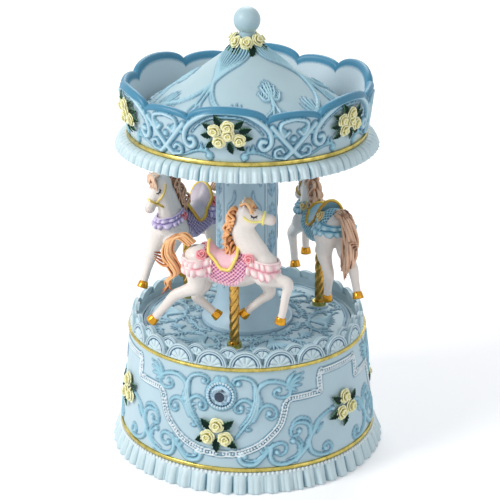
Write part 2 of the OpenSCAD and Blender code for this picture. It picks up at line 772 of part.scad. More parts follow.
module turntable() {
    color("lightblue") difference() {
        union() {
            translate([0, 0, deck_z]) cylinder(h = deck_t, r = deck_r, $fn = fine);
            for (i = [0 : 2])
                at(rotor_rest + 120 * i, pole_circle_r, deck_z)
                    cylinder(h = deck_t + pad_h, r = pad_r, $fn = fine);
        }
        translate([0, 0, deck_z - past]) cylinder(h = deck_t + 2 * past, r = hub_r, $fn = fine);
        translate([0, 0, deck_z - past]) cylinder(h = hub_flange_t + past, r = hub_flange_r, $fn = fine);
        for (a = pillar_azimuths)
            at(a, hub_screw_circle, deck_z) cylinder(h = deck_t - 0.6, r = hub_screw[0], $fn = fine);
        for (i = [0 : 2])
            at(rotor_rest + 120 * i, pole_circle_r, pad_top - pole_socket)
                cylinder(h = pole_socket + past, r = pole_r, $fn = fine);
    }
}

module column() {
    foot_t = 1.2;
    steps = 10;
    flare = [for (i = [0 : steps]) let (t = i / steps)
        [column_r + (column_foot_r - 0.6 - column_r) * pow(1 - t, 2.4),
            deck_top + foot_t + (column_flare_h - foot_t) * t]];
    color("lightblue") turned(concat([[column_bore_r, deck_top], [column_foot_r, deck_top],
        [column_foot_r, deck_top + foot_t]], flare,
        [[column_r, canopy_z], [column_bore_r, canopy_z]]));
}

module pole(i) {
    color("goldenrod") at(rotor_rest + 120 * i, pole_circle_r, pad_top - pole_socket)
        cylinder(h = pole_h + pole_socket, r = pole_r, $fn = fine);
}

module pole_ferrules() {
    color("gold") for (i = [0 : 2])
        at(rotor_rest + 120 * i, pole_circle_r, pad_top) difference() {
            cylinder(h = ferrule_h, r = ferrule_r, $fn = fine);
            translate([0, 0, -past]) cylinder(h = ferrule_h + 2 * past, r = pole_r, $fn = fine);
        }
}

// Horse in its own frame: +X towards the head, -Y away from the column, heights above its pad
module horse(i, trunk, neck, legs, tail) {
    at(rotor_rest + 120 * i, pole_circle_r, pad_top) {
        limb(trunk);
        limb(neck);
        for (leg = legs)
            limb(leg);
        limb(tail);
        seat = trunk[1];
        for (s = [-1, 1])
            hull() {
                translate([seat[0] + 2, s * 3, seat[2] + seat[3] - 1]) sphere(1.6, $fn = 10);
                translate([seat[0] - 7, s * 3, seat[2] + seat[3]]) sphere(1.8, $fn = 10);
                translate([seat[0] - 2, s * (seat[3] - 0.6), seat[2] - 1]) sphere(1.2, $fn = 10);
            }
    }
}

module pink_horse() {
    color("mistyrose") horse(0,
        [[10.5, 0, 32.6, 5.8], [1, 0, 30.2, 6.5], [-7, 0, 31.2, 6.1], [-12.6, 0, 33.6, 6]],
        [[7.5, 0, 36.5, 5.7], [3.2, 0, 45.2, 4.5], [4.4, 0, 51.8, 3.8], [12.6, 0, 50.6, 2.6]],
        [[[11.5, -3, 29.5, 4], [20, -3.4, 27.4, 2.4], [18.4, -3.4, 17, 1.8], [17.6, -3.4, 13.4, 2.1]],
            [[10.5, 3, 28, 4], [12.6, 3.2, 20.8, 2.4], [6, 3.2, 14.8, 1.8], [3.6, 3.2, 12.4, 2.1]],
            [[-13, -3.2, 31.5, 5], [-13.4, -3.6, 24.4, 3.4], [-21.2, -3.6, 20.4, 2.2],
                [-29.2, -3.6, 10.8, 2.1]],
            [[-12.5, 3.2, 31, 5], [-11.4, 3.4, 23.4, 3.4], [-14.5, 3.4, 17.5, 2.2], [-7.4, 3.4, 11.2, 2.1]]],
        [[-15.4, 0, 39.4, 1.9], [-20.4, 0, 42, 2.3], [-24.4, 0, 36.6, 2.6], [-22, 0, 28.8, 2.3],
            [-24.3, 0, 22.4, 1]]);
}

module blue_horse() {
    color("lightsteelblue") horse(1,
        [[11, 0, 35, 5.8], [1, 0, 32.2, 6.6], [-7, 0, 33.6, 6.2], [-12.6, 0, 37, 6.2]],
        [[9.5, 0, 39.4, 5.7], [10.6, 0, 44.4, 4.7], [13, 0, 46.8, 3.8], [20.6, 0, 39.4, 2.6]],
        [[[12, -3, 31.5, 4], [22.4, -3.4, 27, 2.4], [22, -3.4, 17.6, 1.8], [21.8, -3.4, 14.6, 2.1]],
            [[11, 3, 31, 4], [19.6, 3.4, 23.4, 2.4], [17.4, 3.4, 14.8, 1.8], [16.6, 3.4, 11.8, 2.1]],
            [[-13.4, -3.2, 34.4, 5], [-15.4, -3.6, 26.6, 3.4], [-22.4, -3.8, 22.4, 2.2],
                [-27, -3.8, 13.8, 2.1]],
            [[-13, 3.2, 34, 5], [-12, 3.4, 25.6, 3.4], [-16.6, 3.4, 19, 2.2], [-15.4, 3.4, 9.6, 2.1]]],
        [[-17, 0, 42.4, 2.2], [-20.4, -1.2, 43, 2.8], [-22.8, -2.4, 35.4, 3.5], [-22, -2.2, 27.4, 3.3],
            [-20.6, -1.6, 21.4, 2]]);
}

module lilac_horse() {
    color("lavender") horse(2,
        [[11, 0, 33, 5.8], [1, 0, 30.6, 6.6], [-7, 0, 31.6, 6.2], [-12.4, 0, 34.2, 6.2]],
        [[9.5, 0, 37.4, 5.8], [11.8, -0.2, 45.2, 4.7], [13.6, -0.6, 50.4, 4], [18, -2.8, 41.8, 2.7]],
        [[[12, -3, 30, 4], [17.2, -3.4, 20.8, 2.4], [20.8, -3.4, 13.8, 1.8], [22, -3.4, 11.4, 2.1]],
            [[11, 3, 29, 4], [15, 3.2, 21.6, 2.4], [9, 3.2, 15.8, 1.8], [7, 3.2, 13.8, 2.1]],
            [[-13, -3.2, 31.6, 5], [-14, -3.6, 24.4, 3.4], [-21, -3.6, 20, 2.2], [-27.6, -3.6, 11.4, 2.1]],
            [[-12.5, 3.2, 31.4, 5], [-11.4, 3.4, 23.4, 3.4], [-14.6, 3.4, 17.6, 2.2],
                [-8.6, 3.4, 11.6, 2.1]]],
        [[-16, 0, 40, 1.9], [-21, 0, 42.2, 2.4], [-25.4, 0, 35.6, 2.7], [-24.4, 0, 27.6, 2.2],
            [-25, 0, 22.6, 1]]);
}

// ---------- canopy ----------

module canopy_ceiling() {
    color("lightblue") turned([[0, canopy_z], [crown_low_r, canopy_z], [crown_low_r, band_z],
        [crown_seat_r, band_z], [crown_seat_r, ceiling_top], [0, ceiling_top]]);
}

module canopy_skirt() {
    back_r = crown_low_r + seat_gap;
    inner_z = canopy_z - 0.4;
    low_z = band_z - skirt_h;
    color("lightskyblue") rotate([0, 0, rotor_rest]) shaped_ring(skirt_pleats * 4, function(a)
        let (w = skirt_wave * cos(a * skirt_pleats))
        [[back_r, inner_z], [skirt_r - 2.4 + w, low_z], [skirt_r - 0.9 + w, low_z],
            [skirt_r - skirt_wave + w, low_z + 0.4 * skirt_h],
            [skirt_r - 1.6 + 0.5 * w, low_z + 0.8 * skirt_h],
            [back_r + 0.9, band_z], [back_r, band_z]]);
}

module crown_gilt_band() {
    color("gold") turned([[crown_seat_r + seat_gap, band_z], [crown_low_r + band_proud, band_z],
        [crown_low_r + 1.25 * band_proud, band_z + 0.3 * crown_band_h],
        [crown_low_r + 1.25 * band_proud, band_z + 0.7 * crown_band_h],
        [crown_low_r + band_proud, ceiling_top], [crown_seat_r + seat_gap, ceiling_top]]);
}

// Height of the scalloped edge above the valleys: six wide scallops with six narrow ones between them
function scallop(a) =
    let (off = a - 60 * round(a / 60), side = abs(off), narrow_a = 30 - wide_scallop_a)
    side < wide_scallop_a
        ? wide_scallop_h * sqrt(max(0, 1 - pow(side / wide_scallop_a, 2)))
        : narrow_scallop_h * sqrt(max(0, 1 - pow((30 - side) / narrow_a, 2)));

// Point of the crown's wall at an azimuth and a share of the height up to the valleys
function crown_point(a, share) = let (z = ceiling_top + crown_valley_h * share)
    [crown_r(z) * sin(a), -crown_r(z) * cos(a), z];

module crown_scrollwork() {
    for (i = [0 : 5])
        for (side = [-1, 1])
            for (strand = crown_strands)
                for (k = [0 : len(strand) - 2])
                    rod(crown_point(60 * i + side * strand[k][0], strand[k][1]),
                        crown_point(60 * i + side * strand[k + 1][0], strand[k + 1][1]), relief_r);
}

module crown() {
    color("lightblue") rotate([0, 0, rotor_rest]) union() {
        crown_scrollwork();
        shaped_ring(120, function(a)
            let (top = valley_z - 2 * rim_r + scallop(a), r = crown_r(top))
            [[crown_seat_r, ceiling_top], [crown_low_r, ceiling_top], [r, top],
                [r + 1.1 * rim_r, top + 0.25 * rim_r], [r + 1.1 * rim_r, top + 1.2 * rim_r],
                [r - 0.2, top + 2 * rim_r], [r - crown_wall + 0.3, top + 1.5 * rim_r], [r - crown_wall, top]]);
    }
}

function roof_profile(inset) = [for (p = [[1, 0], [0.86, 0.13], [0.46, 0.54], [0.28, 0.73], [0, 1]])
    [neck_r + (roof_r - inset - neck_r) * p[0], eaves_z + (roof_h - inset) * p[1]]];

// Point of the roof at an azimuth and a share of the way down from the neck
function on_roof(a, share) =
    let (r = neck_r + (roof_r - neck_r) * share)
    [r * sin(a), -r * cos(a), lookup(r, roof_profile(0))];

module roof_folds() {
    for (i = [0 : 2])
        for (side = [-1, 1])
            for (strand = roof_strands)
                for (k = [0 : len(strand) - 2])
                    rod(on_roof(120 * i + knot_a + side * strand[k][0], strand[k][1]),
                        on_roof(120 * i + knot_a + side * strand[k + 1][0], strand[k + 1][1]), relief_r);
}

module tent_roof() {
    color("lightblue") union() {
        roof_folds();
        turned(concat([[roof_r - roof_t, ceiling_top], [roof_r, ceiling_top]], roof_profile(0),
            [[0, neck_z], [0, neck_z - 1.5 * roof_t]],
            [for (i = [4 : -1 : 0]) roof_profile(1.2 * roof_t)[i] - [0, 0.6 * roof_t]]));
    }
}

module finial_ball() {
    color("lightskyblue") union() {
        translate([0, 0, neck_z]) cylinder(h = neck_r, r = neck_r, $fn = fine);
        translate([0, 0, ball_z]) sphere(ball_r, $fn = fine);
    }
}

module crown_roses() {
    color("lemonchiffon") for (i = [0 : 5]) for (p = crown_cluster)
        on_crown(rotor_rest + 60 * i + p[0], ceiling_top + crown_cluster_z + p[1])
            translate([0, 0, leaf_t + seat_gap]) rose(crown_rose_r);
}

module crown_leaves() {
    color("darkgreen") for (i = [0 : 5])
        on_crown(rotor_rest + 60 * i, ceiling_top + crown_cluster_z) for (t = [25, 150, 215, 325])
            rotate([0, 0, t]) translate([1.8, 0, 0]) leaf(4.6, 2.4);
}

// The ring of roses leans on the steep top of the roof
module finial_roses() {
    color("lemonchiffon") for (i = [0 : finial_rose_count - 1])
        at(rotor_rest + (i + 0.5) * 360 / finial_rose_count, finial_rose_ring, neck_z - 0.9)
            rotate([50, 0, 0]) rose(finial_rose_r);
}

module finial_leaves() {
    color("darkgreen") for (i = [0 : finial_rose_count / 2 - 1])
        at(rotor_rest + i * 720 / finial_rose_count, finial_rose_ring + finial_leaf_out, neck_z - 2.4)
            rotate([50, 0, 0]) rotate([0, 0, -90]) leaf(4.2, 2.4);
}

// ---------- movement, turning pieces ----------

module pin_cylinder() {
    pitch = cylinder_l / comb_teeth;
    per_track = 3;
    color("goldenrod") difference() {
        union() {
            along_axle(cylinder_x, 0) cylinder(h = cylinder_l, r = cylinder_r, $fn = fine);
            for (i = [0 : comb_teeth - 1]) for (k = [0 : per_track - 1])
                along_axle(cylinder_x + (i + 0.5) * pitch, 0)
                    rotate([0, 0, 137 * i + 360 / per_track * k + 31 * k * i]) rotate([0, 90, 0])
                        translate([0, 0, cylinder_r - 0.5]) cylinder(h = 0.5 + pin_l, r = 0.14, $fn = 16);
        }
        along_axle(cylinder_x - past, 0) cylinder(h = cylinder_l + 2 * past, r = axle_r, $fn = fine);
    }
}

module cylinder_arbor() {
    x = barrel_r - barrel_wall - 0.3;
    color("silver") along_axle(x, 0) cylinder(h = far_post_x + post_t + 0.3 - x, r = axle_r, $fn = fine);
}

module cylinder_pinion() {
    color("goldenrod") along_axle(barrel_r - barrel_wall, 0) linear_extrude(barrel_wall) difference() {
        gear_outline(pinion_teeth, pinion_r, tooth_add, tooth_ded, 180 / pinion_teeth);
        circle(axle_r, $fn = fine);
    }
}

module cylinder_gear() {
    color("goldenrod") along_axle(gear_x, 0) linear_extrude(gear_t) difference() {
        gear_outline(train_teeth, train_teeth * train_module / 2, train_add, train_ded, 0);
        circle(axle_r, $fn = fine);
    }
}

module governor_pinion() {
    color("silver") along_axle(gear_x - 0.2, governor_y) linear_extrude(gear_t + 0.4) difference() {
        gear_outline(train_pinion, train_pinion * train_module / 2, train_add, train_ded, 180 / train_pinion);
        circle(governor_r, $fn = fine);
    }
}

module governor_wheel() {
    color("goldenrod") along_axle(wheel_x - wheel_t / 2, governor_y) linear_extrude(wheel_t) difference() {
        gear_outline(worm_teeth, wheel_r, 0.4, 0.6, 0);
        circle(governor_r, $fn = fine);
    }
}

module governor_arbor() {
    x = bracket_x - 0.2;
    color("silver") along_axle(x, governor_y)
        cylinder(h = bracket_end_x + post_t + 0.2 - x, r = governor_r, $fn = fine);
}

// Two-start worm on its shaft
module governor_worm() {
    thread_h = 2 * worm_lead;
    thread_a = 22;
    color("silver") translate([wheel_x, worm_y, 0]) {
        translate([0, 0, axle_z - thread_h / 2])
            linear_extrude(thread_h, twist = -360 * thread_h / worm_lead, slices = 40)
                union() {
                    circle(worm_core_r, $fn = 12);
                    for (t = [0, 180]) rotate([0, 0, t])
                        polygon([[0, 0], [worm_tip_r * cos(thread_a), -worm_tip_r * sin(thread_a)],
                            [worm_tip_r, 0], [worm_tip_r * cos(thread_a), worm_tip_r * sin(thread_a)]]);
                }
        translate([0, 0, bed_top + end_gap])
            cylinder(h = worm_top + bracket_t - bed_top - end_gap, r = worm_shaft_r, $fn = fine);
    }
}

module fly() {
    color("white") translate([wheel_x, worm_y, fly_z]) difference() {
        union() {
            cylinder(h = fly_h, r = 1, $fn = fine);
            translate([-fly_r, -0.25, 0]) cube([2 * fly_r, 0.5, fly_h]);
        }
        translate([0, 0, -past]) cylinder(h = fly_h + 2 * past, r = worm_shaft_r, $fn = fine);
    }
}

base_drum();
base_ruffle();
low_gilt_band();
top_gilt_band();
parapet();
crystals();
crystal_settings();
drum_roses();
drum_leaves();
bottom_plate();
bottom_plate_screws();
bedplate();
bedplate_screws();
comb();
comb_screws();
governor_bracket();
governor_screws();
top_bushing();
winding_key();
winding_arbor();
spring_barrel();
barrel_cap();
mainspring();
drive_shaft();
turntable_hub();
hub_screws();
turntable();
column();
pink_horse();
blue_horse();
lilac_horse();
pole(0);  // pink_horse_pole
pole(1);  // blue_horse_pole
pole(2);  // lilac_horse_pole
pole_ferrules();
canopy_ceiling();
canopy_skirt();
crown_gilt_band();
crown();
tent_roof();
finial_ball();
crown_roses();
crown_leaves();
finial_roses();
finial_leaves();
pin_cylinder();
cylinder_arbor();
cylinder_pinion();
cylinder_gear();
governor_wheel();
governor_pinion();
governor_arbor();
governor_worm();
fly();
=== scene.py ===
"""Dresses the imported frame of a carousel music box: cast resin, relief, ruffles, roses, horses and gilt."""
import functools
import json
import logging
import random
from dataclasses import dataclass
from enum import Enum
from math import atan2, ceil, cos, degrees, exp, floor, pi, radians, sin
from typing import Any, Callable, Iterable, Optional, Sequence, Union

import bmesh
import bpy
import numpy as np
from mathutils import Matrix, Vector
from mathutils.bvhtree import BVHTree


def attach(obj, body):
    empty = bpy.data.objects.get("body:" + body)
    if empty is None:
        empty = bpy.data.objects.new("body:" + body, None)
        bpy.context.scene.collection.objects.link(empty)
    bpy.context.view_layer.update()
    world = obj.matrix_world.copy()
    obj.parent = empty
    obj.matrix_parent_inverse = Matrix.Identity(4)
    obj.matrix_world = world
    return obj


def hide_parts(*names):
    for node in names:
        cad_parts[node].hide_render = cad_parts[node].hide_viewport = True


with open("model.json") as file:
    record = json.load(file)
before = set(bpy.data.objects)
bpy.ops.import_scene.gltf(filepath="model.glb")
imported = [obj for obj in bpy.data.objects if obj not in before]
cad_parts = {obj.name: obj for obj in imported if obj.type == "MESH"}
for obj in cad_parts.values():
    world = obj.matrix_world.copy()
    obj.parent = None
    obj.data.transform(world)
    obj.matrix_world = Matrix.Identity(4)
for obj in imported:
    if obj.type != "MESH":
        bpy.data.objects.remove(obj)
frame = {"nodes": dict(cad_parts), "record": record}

log = logging.getLogger("carousel")
MM = 0.001
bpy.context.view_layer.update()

Point = Sequence[float]
Points = Sequence[Point]
Colour = tuple[float, float, float]


# Colours and shader graphs


def ink(code: str) -> Colour:
    """Linear colour of an sRGB colour of six hex digits."""
    return tuple(c / 12.92 if c <= 0.04045 else ((c + 0.055) / 1.055) ** 2.4
                 for c in (int(code[k:k + 2], 16) / 255 for k in (0, 2, 4)))


class Wire:
    """A socket of a shader graph, on which Python's operators add Math nodes."""

    def __init__(self, graph: "Graph", socket: bpy.types.NodeSocket) -> None:
        """Wraps one output socket of the graph."""
        self.graph = graph
        self.socket = socket

    def _maths(self, operation: str, first: "Value", second: "Value" = 0.0) -> "Wire":
        """The result of a Math node on two values."""
        return self.graph.add("ShaderNodeMath", {"operation": operation}, {0: first, 1: second})

    def __add__(self, other: "Value") -> "Wire":
        """This plus other."""
        return self._maths("ADD", self, other)

    __radd__ = __add__

    def __sub__(self, other: "Value") -> "Wire":
        """This minus other."""
        return self._maths("SUBTRACT", self, other)

    def __rsub__(self, other: "Value") -> "Wire":
        """Other minus this."""
        return self._maths("SUBTRACT", other, self)

    def __mul__(self, other: "Value") -> "Wire":
        """This times other."""
        return self._maths("MULTIPLY", self, other)

    __rmul__ = __mul__


Value = Union[Wire, float]


class Graph:
    """One material's node graph around a Principled shader."""

    def __init__(self, name: str) -> None:
        """Starts a material of that name."""
        self.material = bpy.data.materials.new(name)
        self.material.use_nodes = True
        self.tree = self.material.node_tree
        self.tree.nodes.clear()
        self.shader = self.tree.nodes.new("ShaderNodeBsdfPrincipled")
        output = self.tree.nodes.new("ShaderNodeOutputMaterial")
        self.tree.links.new(self.shader.outputs[0], output.inputs[0])

    @classmethod
    def of_tree(cls, tree: bpy.types.NodeTree) -> "Graph":
        """A graph that adds nodes to a tree that exists."""
        graph = cls.__new__(cls)
        graph.tree = tree
        return graph

    def seen(self) -> Wire:
        """1 where the camera looks straight at it, in a mirror or through glass, and 0 for its light."""
        return sum((self.add("ShaderNodeLightPath", output=name)
                    for name in ("Is Camera Ray", "Is Glossy Ray", "Is Transmission Ray")), 0.0)

    def feed(self, socket: bpy.types.NodeSocket, value: Any) -> None:
        """Links a wire to a socket, or sets its value; hex digits are a colour."""
        value = ink(value) if isinstance(value, str) else value
        if isinstance(value, Wire):
            self.tree.links.new(value.socket, socket)
        elif isinstance(value, (tuple, list)) and len(value) == 3 and socket.type == "RGBA":
            socket.default_value = (*value, 1.0)
        else:
            socket.default_value = value

    def add(self, kind: str, settings: Optional[dict] = None, inputs: Optional[dict] = None,
            output: Union[int, str] = 0) -> Wire:
        """Adds a node.

        Args:
            kind: The node's type.
            settings: Its properties.
            inputs: Values or wires by socket name or number.
            output: The output to return.

        Returns:
            The wire of that output.
        """
        node = self.tree.nodes.new(kind)
        for name, value in (settings or {}).items():
            setattr(node, name, value)
        for name, value in (inputs or {}).items():
            self.feed(node.inputs[name], value)
        return Wire(self, node.outputs[output])

    def place(self) -> Wire:
        """Object coordinates, in metres."""
        return self.add("ShaderNodeTexCoord", output="Object")

    def noise(self, per_mm: float, detail: float) -> Wire:
        """Cloudy values around 0.5, with about per_mm blobs to a millimetre."""
        return self.add("ShaderNodeTexNoise", inputs={"Vector": self.place(), "Scale": per_mm / MM,
                                                      "Detail": detail, "Roughness": 0.55})

    def shade(self, name: str) -> Wire:
        """The piece's own attribute of that name."""
        return self.add("ShaderNodeAttribute", {"attribute_name": name}, output="Fac")

    def span(self, value: Wire, low: float, high: float) -> Wire:
        """The value moved from low..high to 0..1, and held there."""
        return self.add("ShaderNodeMapRange", {"clamp": True, "interpolation_type": "SMOOTHSTEP"},
                        {"Value": value, "From Min": low, "From Max": high})

    def blend(self, amount: Value, first: Any, second: Any) -> Wire:
        """A colour between two colours."""
        return self.add("ShaderNodeMix", {"data_type": "RGBA", "clamp_factor": True},
                        {0: amount, 6: first, 7: second}, 2)

    def bump(self, height: Wire, depth_mm: float, strength: float) -> None:
        """Raises the surface by the height times depth_mm."""
        self.feed(self.shader.inputs["Normal"], self.add("ShaderNodeBump", inputs={
            "Height": height, "Distance": depth_mm * MM, "Strength": strength}))

    def surface(self, **values: Any) -> bpy.types.Material:
        """Sets the shader's sockets, with _ for a space, and returns the material."""
        for name, value in values.items():
            self.feed(self.shader.inputs[name.replace("_", " ")], value)
        return self.material


@dataclass(frozen=True)
class WashedResin:
    """Cast resin painted in a pale colour with relief picked out, a painted highlight on the relief's crests, and a
    darker tone in its recesses that is partly washed-in paint and partly painted shade.
    """

    name: str
    ground: str
    relief: str
    wash: str
    wash_amount: float = 1.0
    rim: str = "3c82a2"
    roughness: float = 0.42

    def make(self) -> bpy.types.Material:
        """Builds the material."""
        g = Graph(self.name)
        cloud = g.noise(0.12, 3.0)
        grain = g.noise(1.6, 4.0)
        lift = g.span(g.shade("lift"), 0.02, 0.55)
        colour = g.blend(g.span(cloud, 0.3, 0.7) * 0.35, self.ground, tuple(c * 0.9 for c in ink(self.ground)))
        colour = g.blend(lift, colour, self.relief)
        # Painted highlight: the relief's highest crests are lightened towards a pale blue-white.
        colour = g.blend(g.span(g.shade("lift"), 0.6, 1.2) * 0.5, colour, "d6e8f0")
        # Picked out in pale blue-white: white paint on beads and lines, and painted light on the crown's shaded
        # inside.
        colour = g.blend(g.span(g.shade("pearl"), 0.2, 0.8), colour, "e2ecf0")
        # Partly painted shade: the dark tone beside the relief's foot and in hollows is washed-in paint and painted
        # shade together.
        recess = g.shade("wash") * self.wash_amount * (0.7 + 0.6 * grain)
        colour = g.blend(recess, colour, self.wash)
        edge = g.span(g.shade("rim") + 0.22 * (grain - 0.5), 0.25, 0.75)
        colour = g.blend(edge, colour, self.rim)
        colour = g.blend(g.span(grain, 0.62, 0.8) * 0.16, colour, "ebf3f7")
        g.bump(grain, 0.05, 0.5)
        return g.surface(Base_Color=colour, Roughness=self.roughness + 0.16 * (grain - 0.5),
                         Specular_IOR_Level=0.45, Coat_Weight=0.08, Coat_Roughness=0.3)


@dataclass(frozen=True)
class Paint:
    """Brushed-on paint over cast resin, graded from dark to light by the lift attribute, which on most pieces is
    painted light and shade: lighter where the casting stands out and darker in its folds.
    """

    name: str
    colour: str
    dark: str
    light: str
    roughness: float = 0.42
    streak: float = 0.0
    coat: float = 0.12
    shine: float = 0.45

    def make(self) -> bpy.types.Material:
        """Builds the material."""
        g = Graph(self.name)
        grain = g.noise(1.1, 4.0)
        tone = g.shade("lift") + 0.3 * (grain - 0.5)
        if self.streak:
            tone = tone + self.streak * (g.noise(2.4, 2.0) - 0.5)
        # Painted light and shade on most pieces, and a woven pattern on the blanket: the lift attribute picks the
        # dark, middle or light colour.
        colour = g.blend(g.span(tone, 0.05, 0.5), self.dark, self.colour)
        colour = g.blend(g.span(tone, 0.55, 1.0), colour, self.light)
        g.bump(grain, 0.05, 0.4)
        return g.surface(Base_Color=colour, Roughness=self.roughness + 0.12 * (grain - 0.5),
                         Specular_IOR_Level=self.shine, Coat_Weight=self.coat, Coat_Roughness=0.25)


@dataclass(frozen=True)
class Metal:
    """Gilt, brass or steel with small scratches and a slightly uneven polish."""

    name: str
    colour: str
    tarnish: str
    roughness: float = 0.25
    metallic: float = 1.0
    brushed: float = 0.0

    def make(self) -> bpy.types.Material:
        """Builds the material."""
        g = Graph(self.name)
        cloud = g.noise(0.35, 4.0)
        grain = g.noise(2.5, 3.0)
        colour = g.blend(g.span(cloud, 0.35, 0.75) * 0.7, self.colour, self.tarnish)
        g.bump(grain, 0.02, 0.3 + self.brushed)
        return g.surface(Base_Color=colour, Metallic=self.metallic,
                         Roughness=self.roughness + 0.2 * (cloud - 0.5) + 0.1 * (grain - 0.5))


@dataclass(frozen=True)
class CutStone:
    """A foil-backed crystal, pale blue and very smooth, with painted reflections: a dark middle, pale outer facets
    and facets made lighter or darker at random for glints.
    """

    name: str

    def make(self) -> bpy.types.Material:
        """Builds the material."""
        g = Graph(self.name)
        # Painted reflection: noise lightens and darkens the facets to stand in for glints.
        depth = g.noise(0.5, 1.0)
        colour = g.blend(g.span(g.shade("lift") + 1.5 * (depth - 0.5), 0.1, 0.9), "122c42", "bedef0")
        return g.surface(Base_Color=colour, Metallic=0.85, Roughness=0.06, Coat_Weight=1.0, Coat_Roughness=0.02)


@functools.cache
def dressed(finish: Any) -> bpy.types.Material:
    """The material of a finish, made once."""
    return finish.make()


DRUM_RESIN = WashedResin("drum_resin", "b5cfda", "8ec2d4", "3c7896", 1.1)
CROWN_RESIN = WashedResin("crown_resin", "b2ccd6", "8abed0", "2c6c8c", 1.4)
ROOF_RESIN = WashedResin("roof_resin", "b2ccd5", "a4cedc", "387a9c", 1.3)
DECK_RESIN = WashedResin("deck_resin", "acc8d3", "9ac2d3", "2e6484", 1.15)
COLUMN_RESIN = WashedResin("column_resin", "acc8d5", "90b8cc", "3a6a8a")
FAN_RESIN = WashedResin("fan_resin", "a0becb", "c4dae2", "2e5e7c", 1.5)
RUFFLE_RESIN = WashedResin("ruffle_resin", "b8d2d9", "c8dde3", "5c8ea4", 1.5)
PLAIN_RESIN = WashedResin("plain_resin", "aecad9", "a0c8dc", "46789c")
GILT = Metal("gilt", "ccba68", "847a3e", 0.28)
POLE_BRASS = Metal("pole_brass", "cea254", "785424", 0.26)
WORKS_BRASS = Metal("works_brass", "cdac69", "a07d42", 0.3, brushed=0.4)
WORKS_STEEL = Metal("works_steel", "b0b2b6", "787a80", 0.3, brushed=0.5)
BEDPLATE_ZINC = Metal("bedplate_zinc", "b0a07a", "807050", 0.45, brushed=0.6)
PLATE_BOARD = Paint("plate_board", "2e3238", "1e2126", "3e4248", 0.6)
FLY_PLASTIC = Paint("fly_plastic", "deded8", "c4c4be", "ecece8", 0.4)
ROSE_PAINT = Paint("rose_paint", "f0ecb2", "b0a45c", "faf9d8", 0.4)
LEAF_PAINT = Paint("leaf_paint", "0c2e26", "031210", "609068", 0.5, coat=0.0, shine=0.12)
CRYSTAL = CutStone("crystal")


# Curves and forms


def held(value: Any) -> Any:
    """The value, held from 0 to 1."""
    return np.clip(value, 0, 1)


def flow(points: Points, step: float = 0.3, closed: bool = False) -> np.ndarray:
    """Smooth line through a few points.

    Args:
        points: The points, of any number of coordinates.
        step: Distance between the line's samples.
        closed: Whether the line returns to its first point.

    Returns:
        The samples, one row each.
    """
    p = np.asarray(points, float)
    if closed:
        p = np.vstack([p[-1:], p, p[:2]])
    else:
        p = np.vstack([2 * p[0] - p[1], p, 2 * p[-1] - p[-2]])
    rows = []
    for a, b, c, d in zip(p[:-3], p[1:-2], p[2:-1], p[3:]):
        count = max(2, int(np.linalg.norm((c - b)[:3]) / step))
        t = np.linspace(0, 1, count, endpoint=False)[:, None]
        rows.append(0.5 * (2 * b + (c - a) * t + (2 * a - 5 * b + 4 * c - d) * t ** 2
                           + (3 * b - a - 3 * c + d) * t ** 3))
    if not closed:
        rows.append(p[-2:-1])
    return np.vstack(rows)


class Swell(Enum):
    """How a stroke's width runs along it."""

    EVEN = "even"
    TAPER = "taper"
    LENS = "lens"


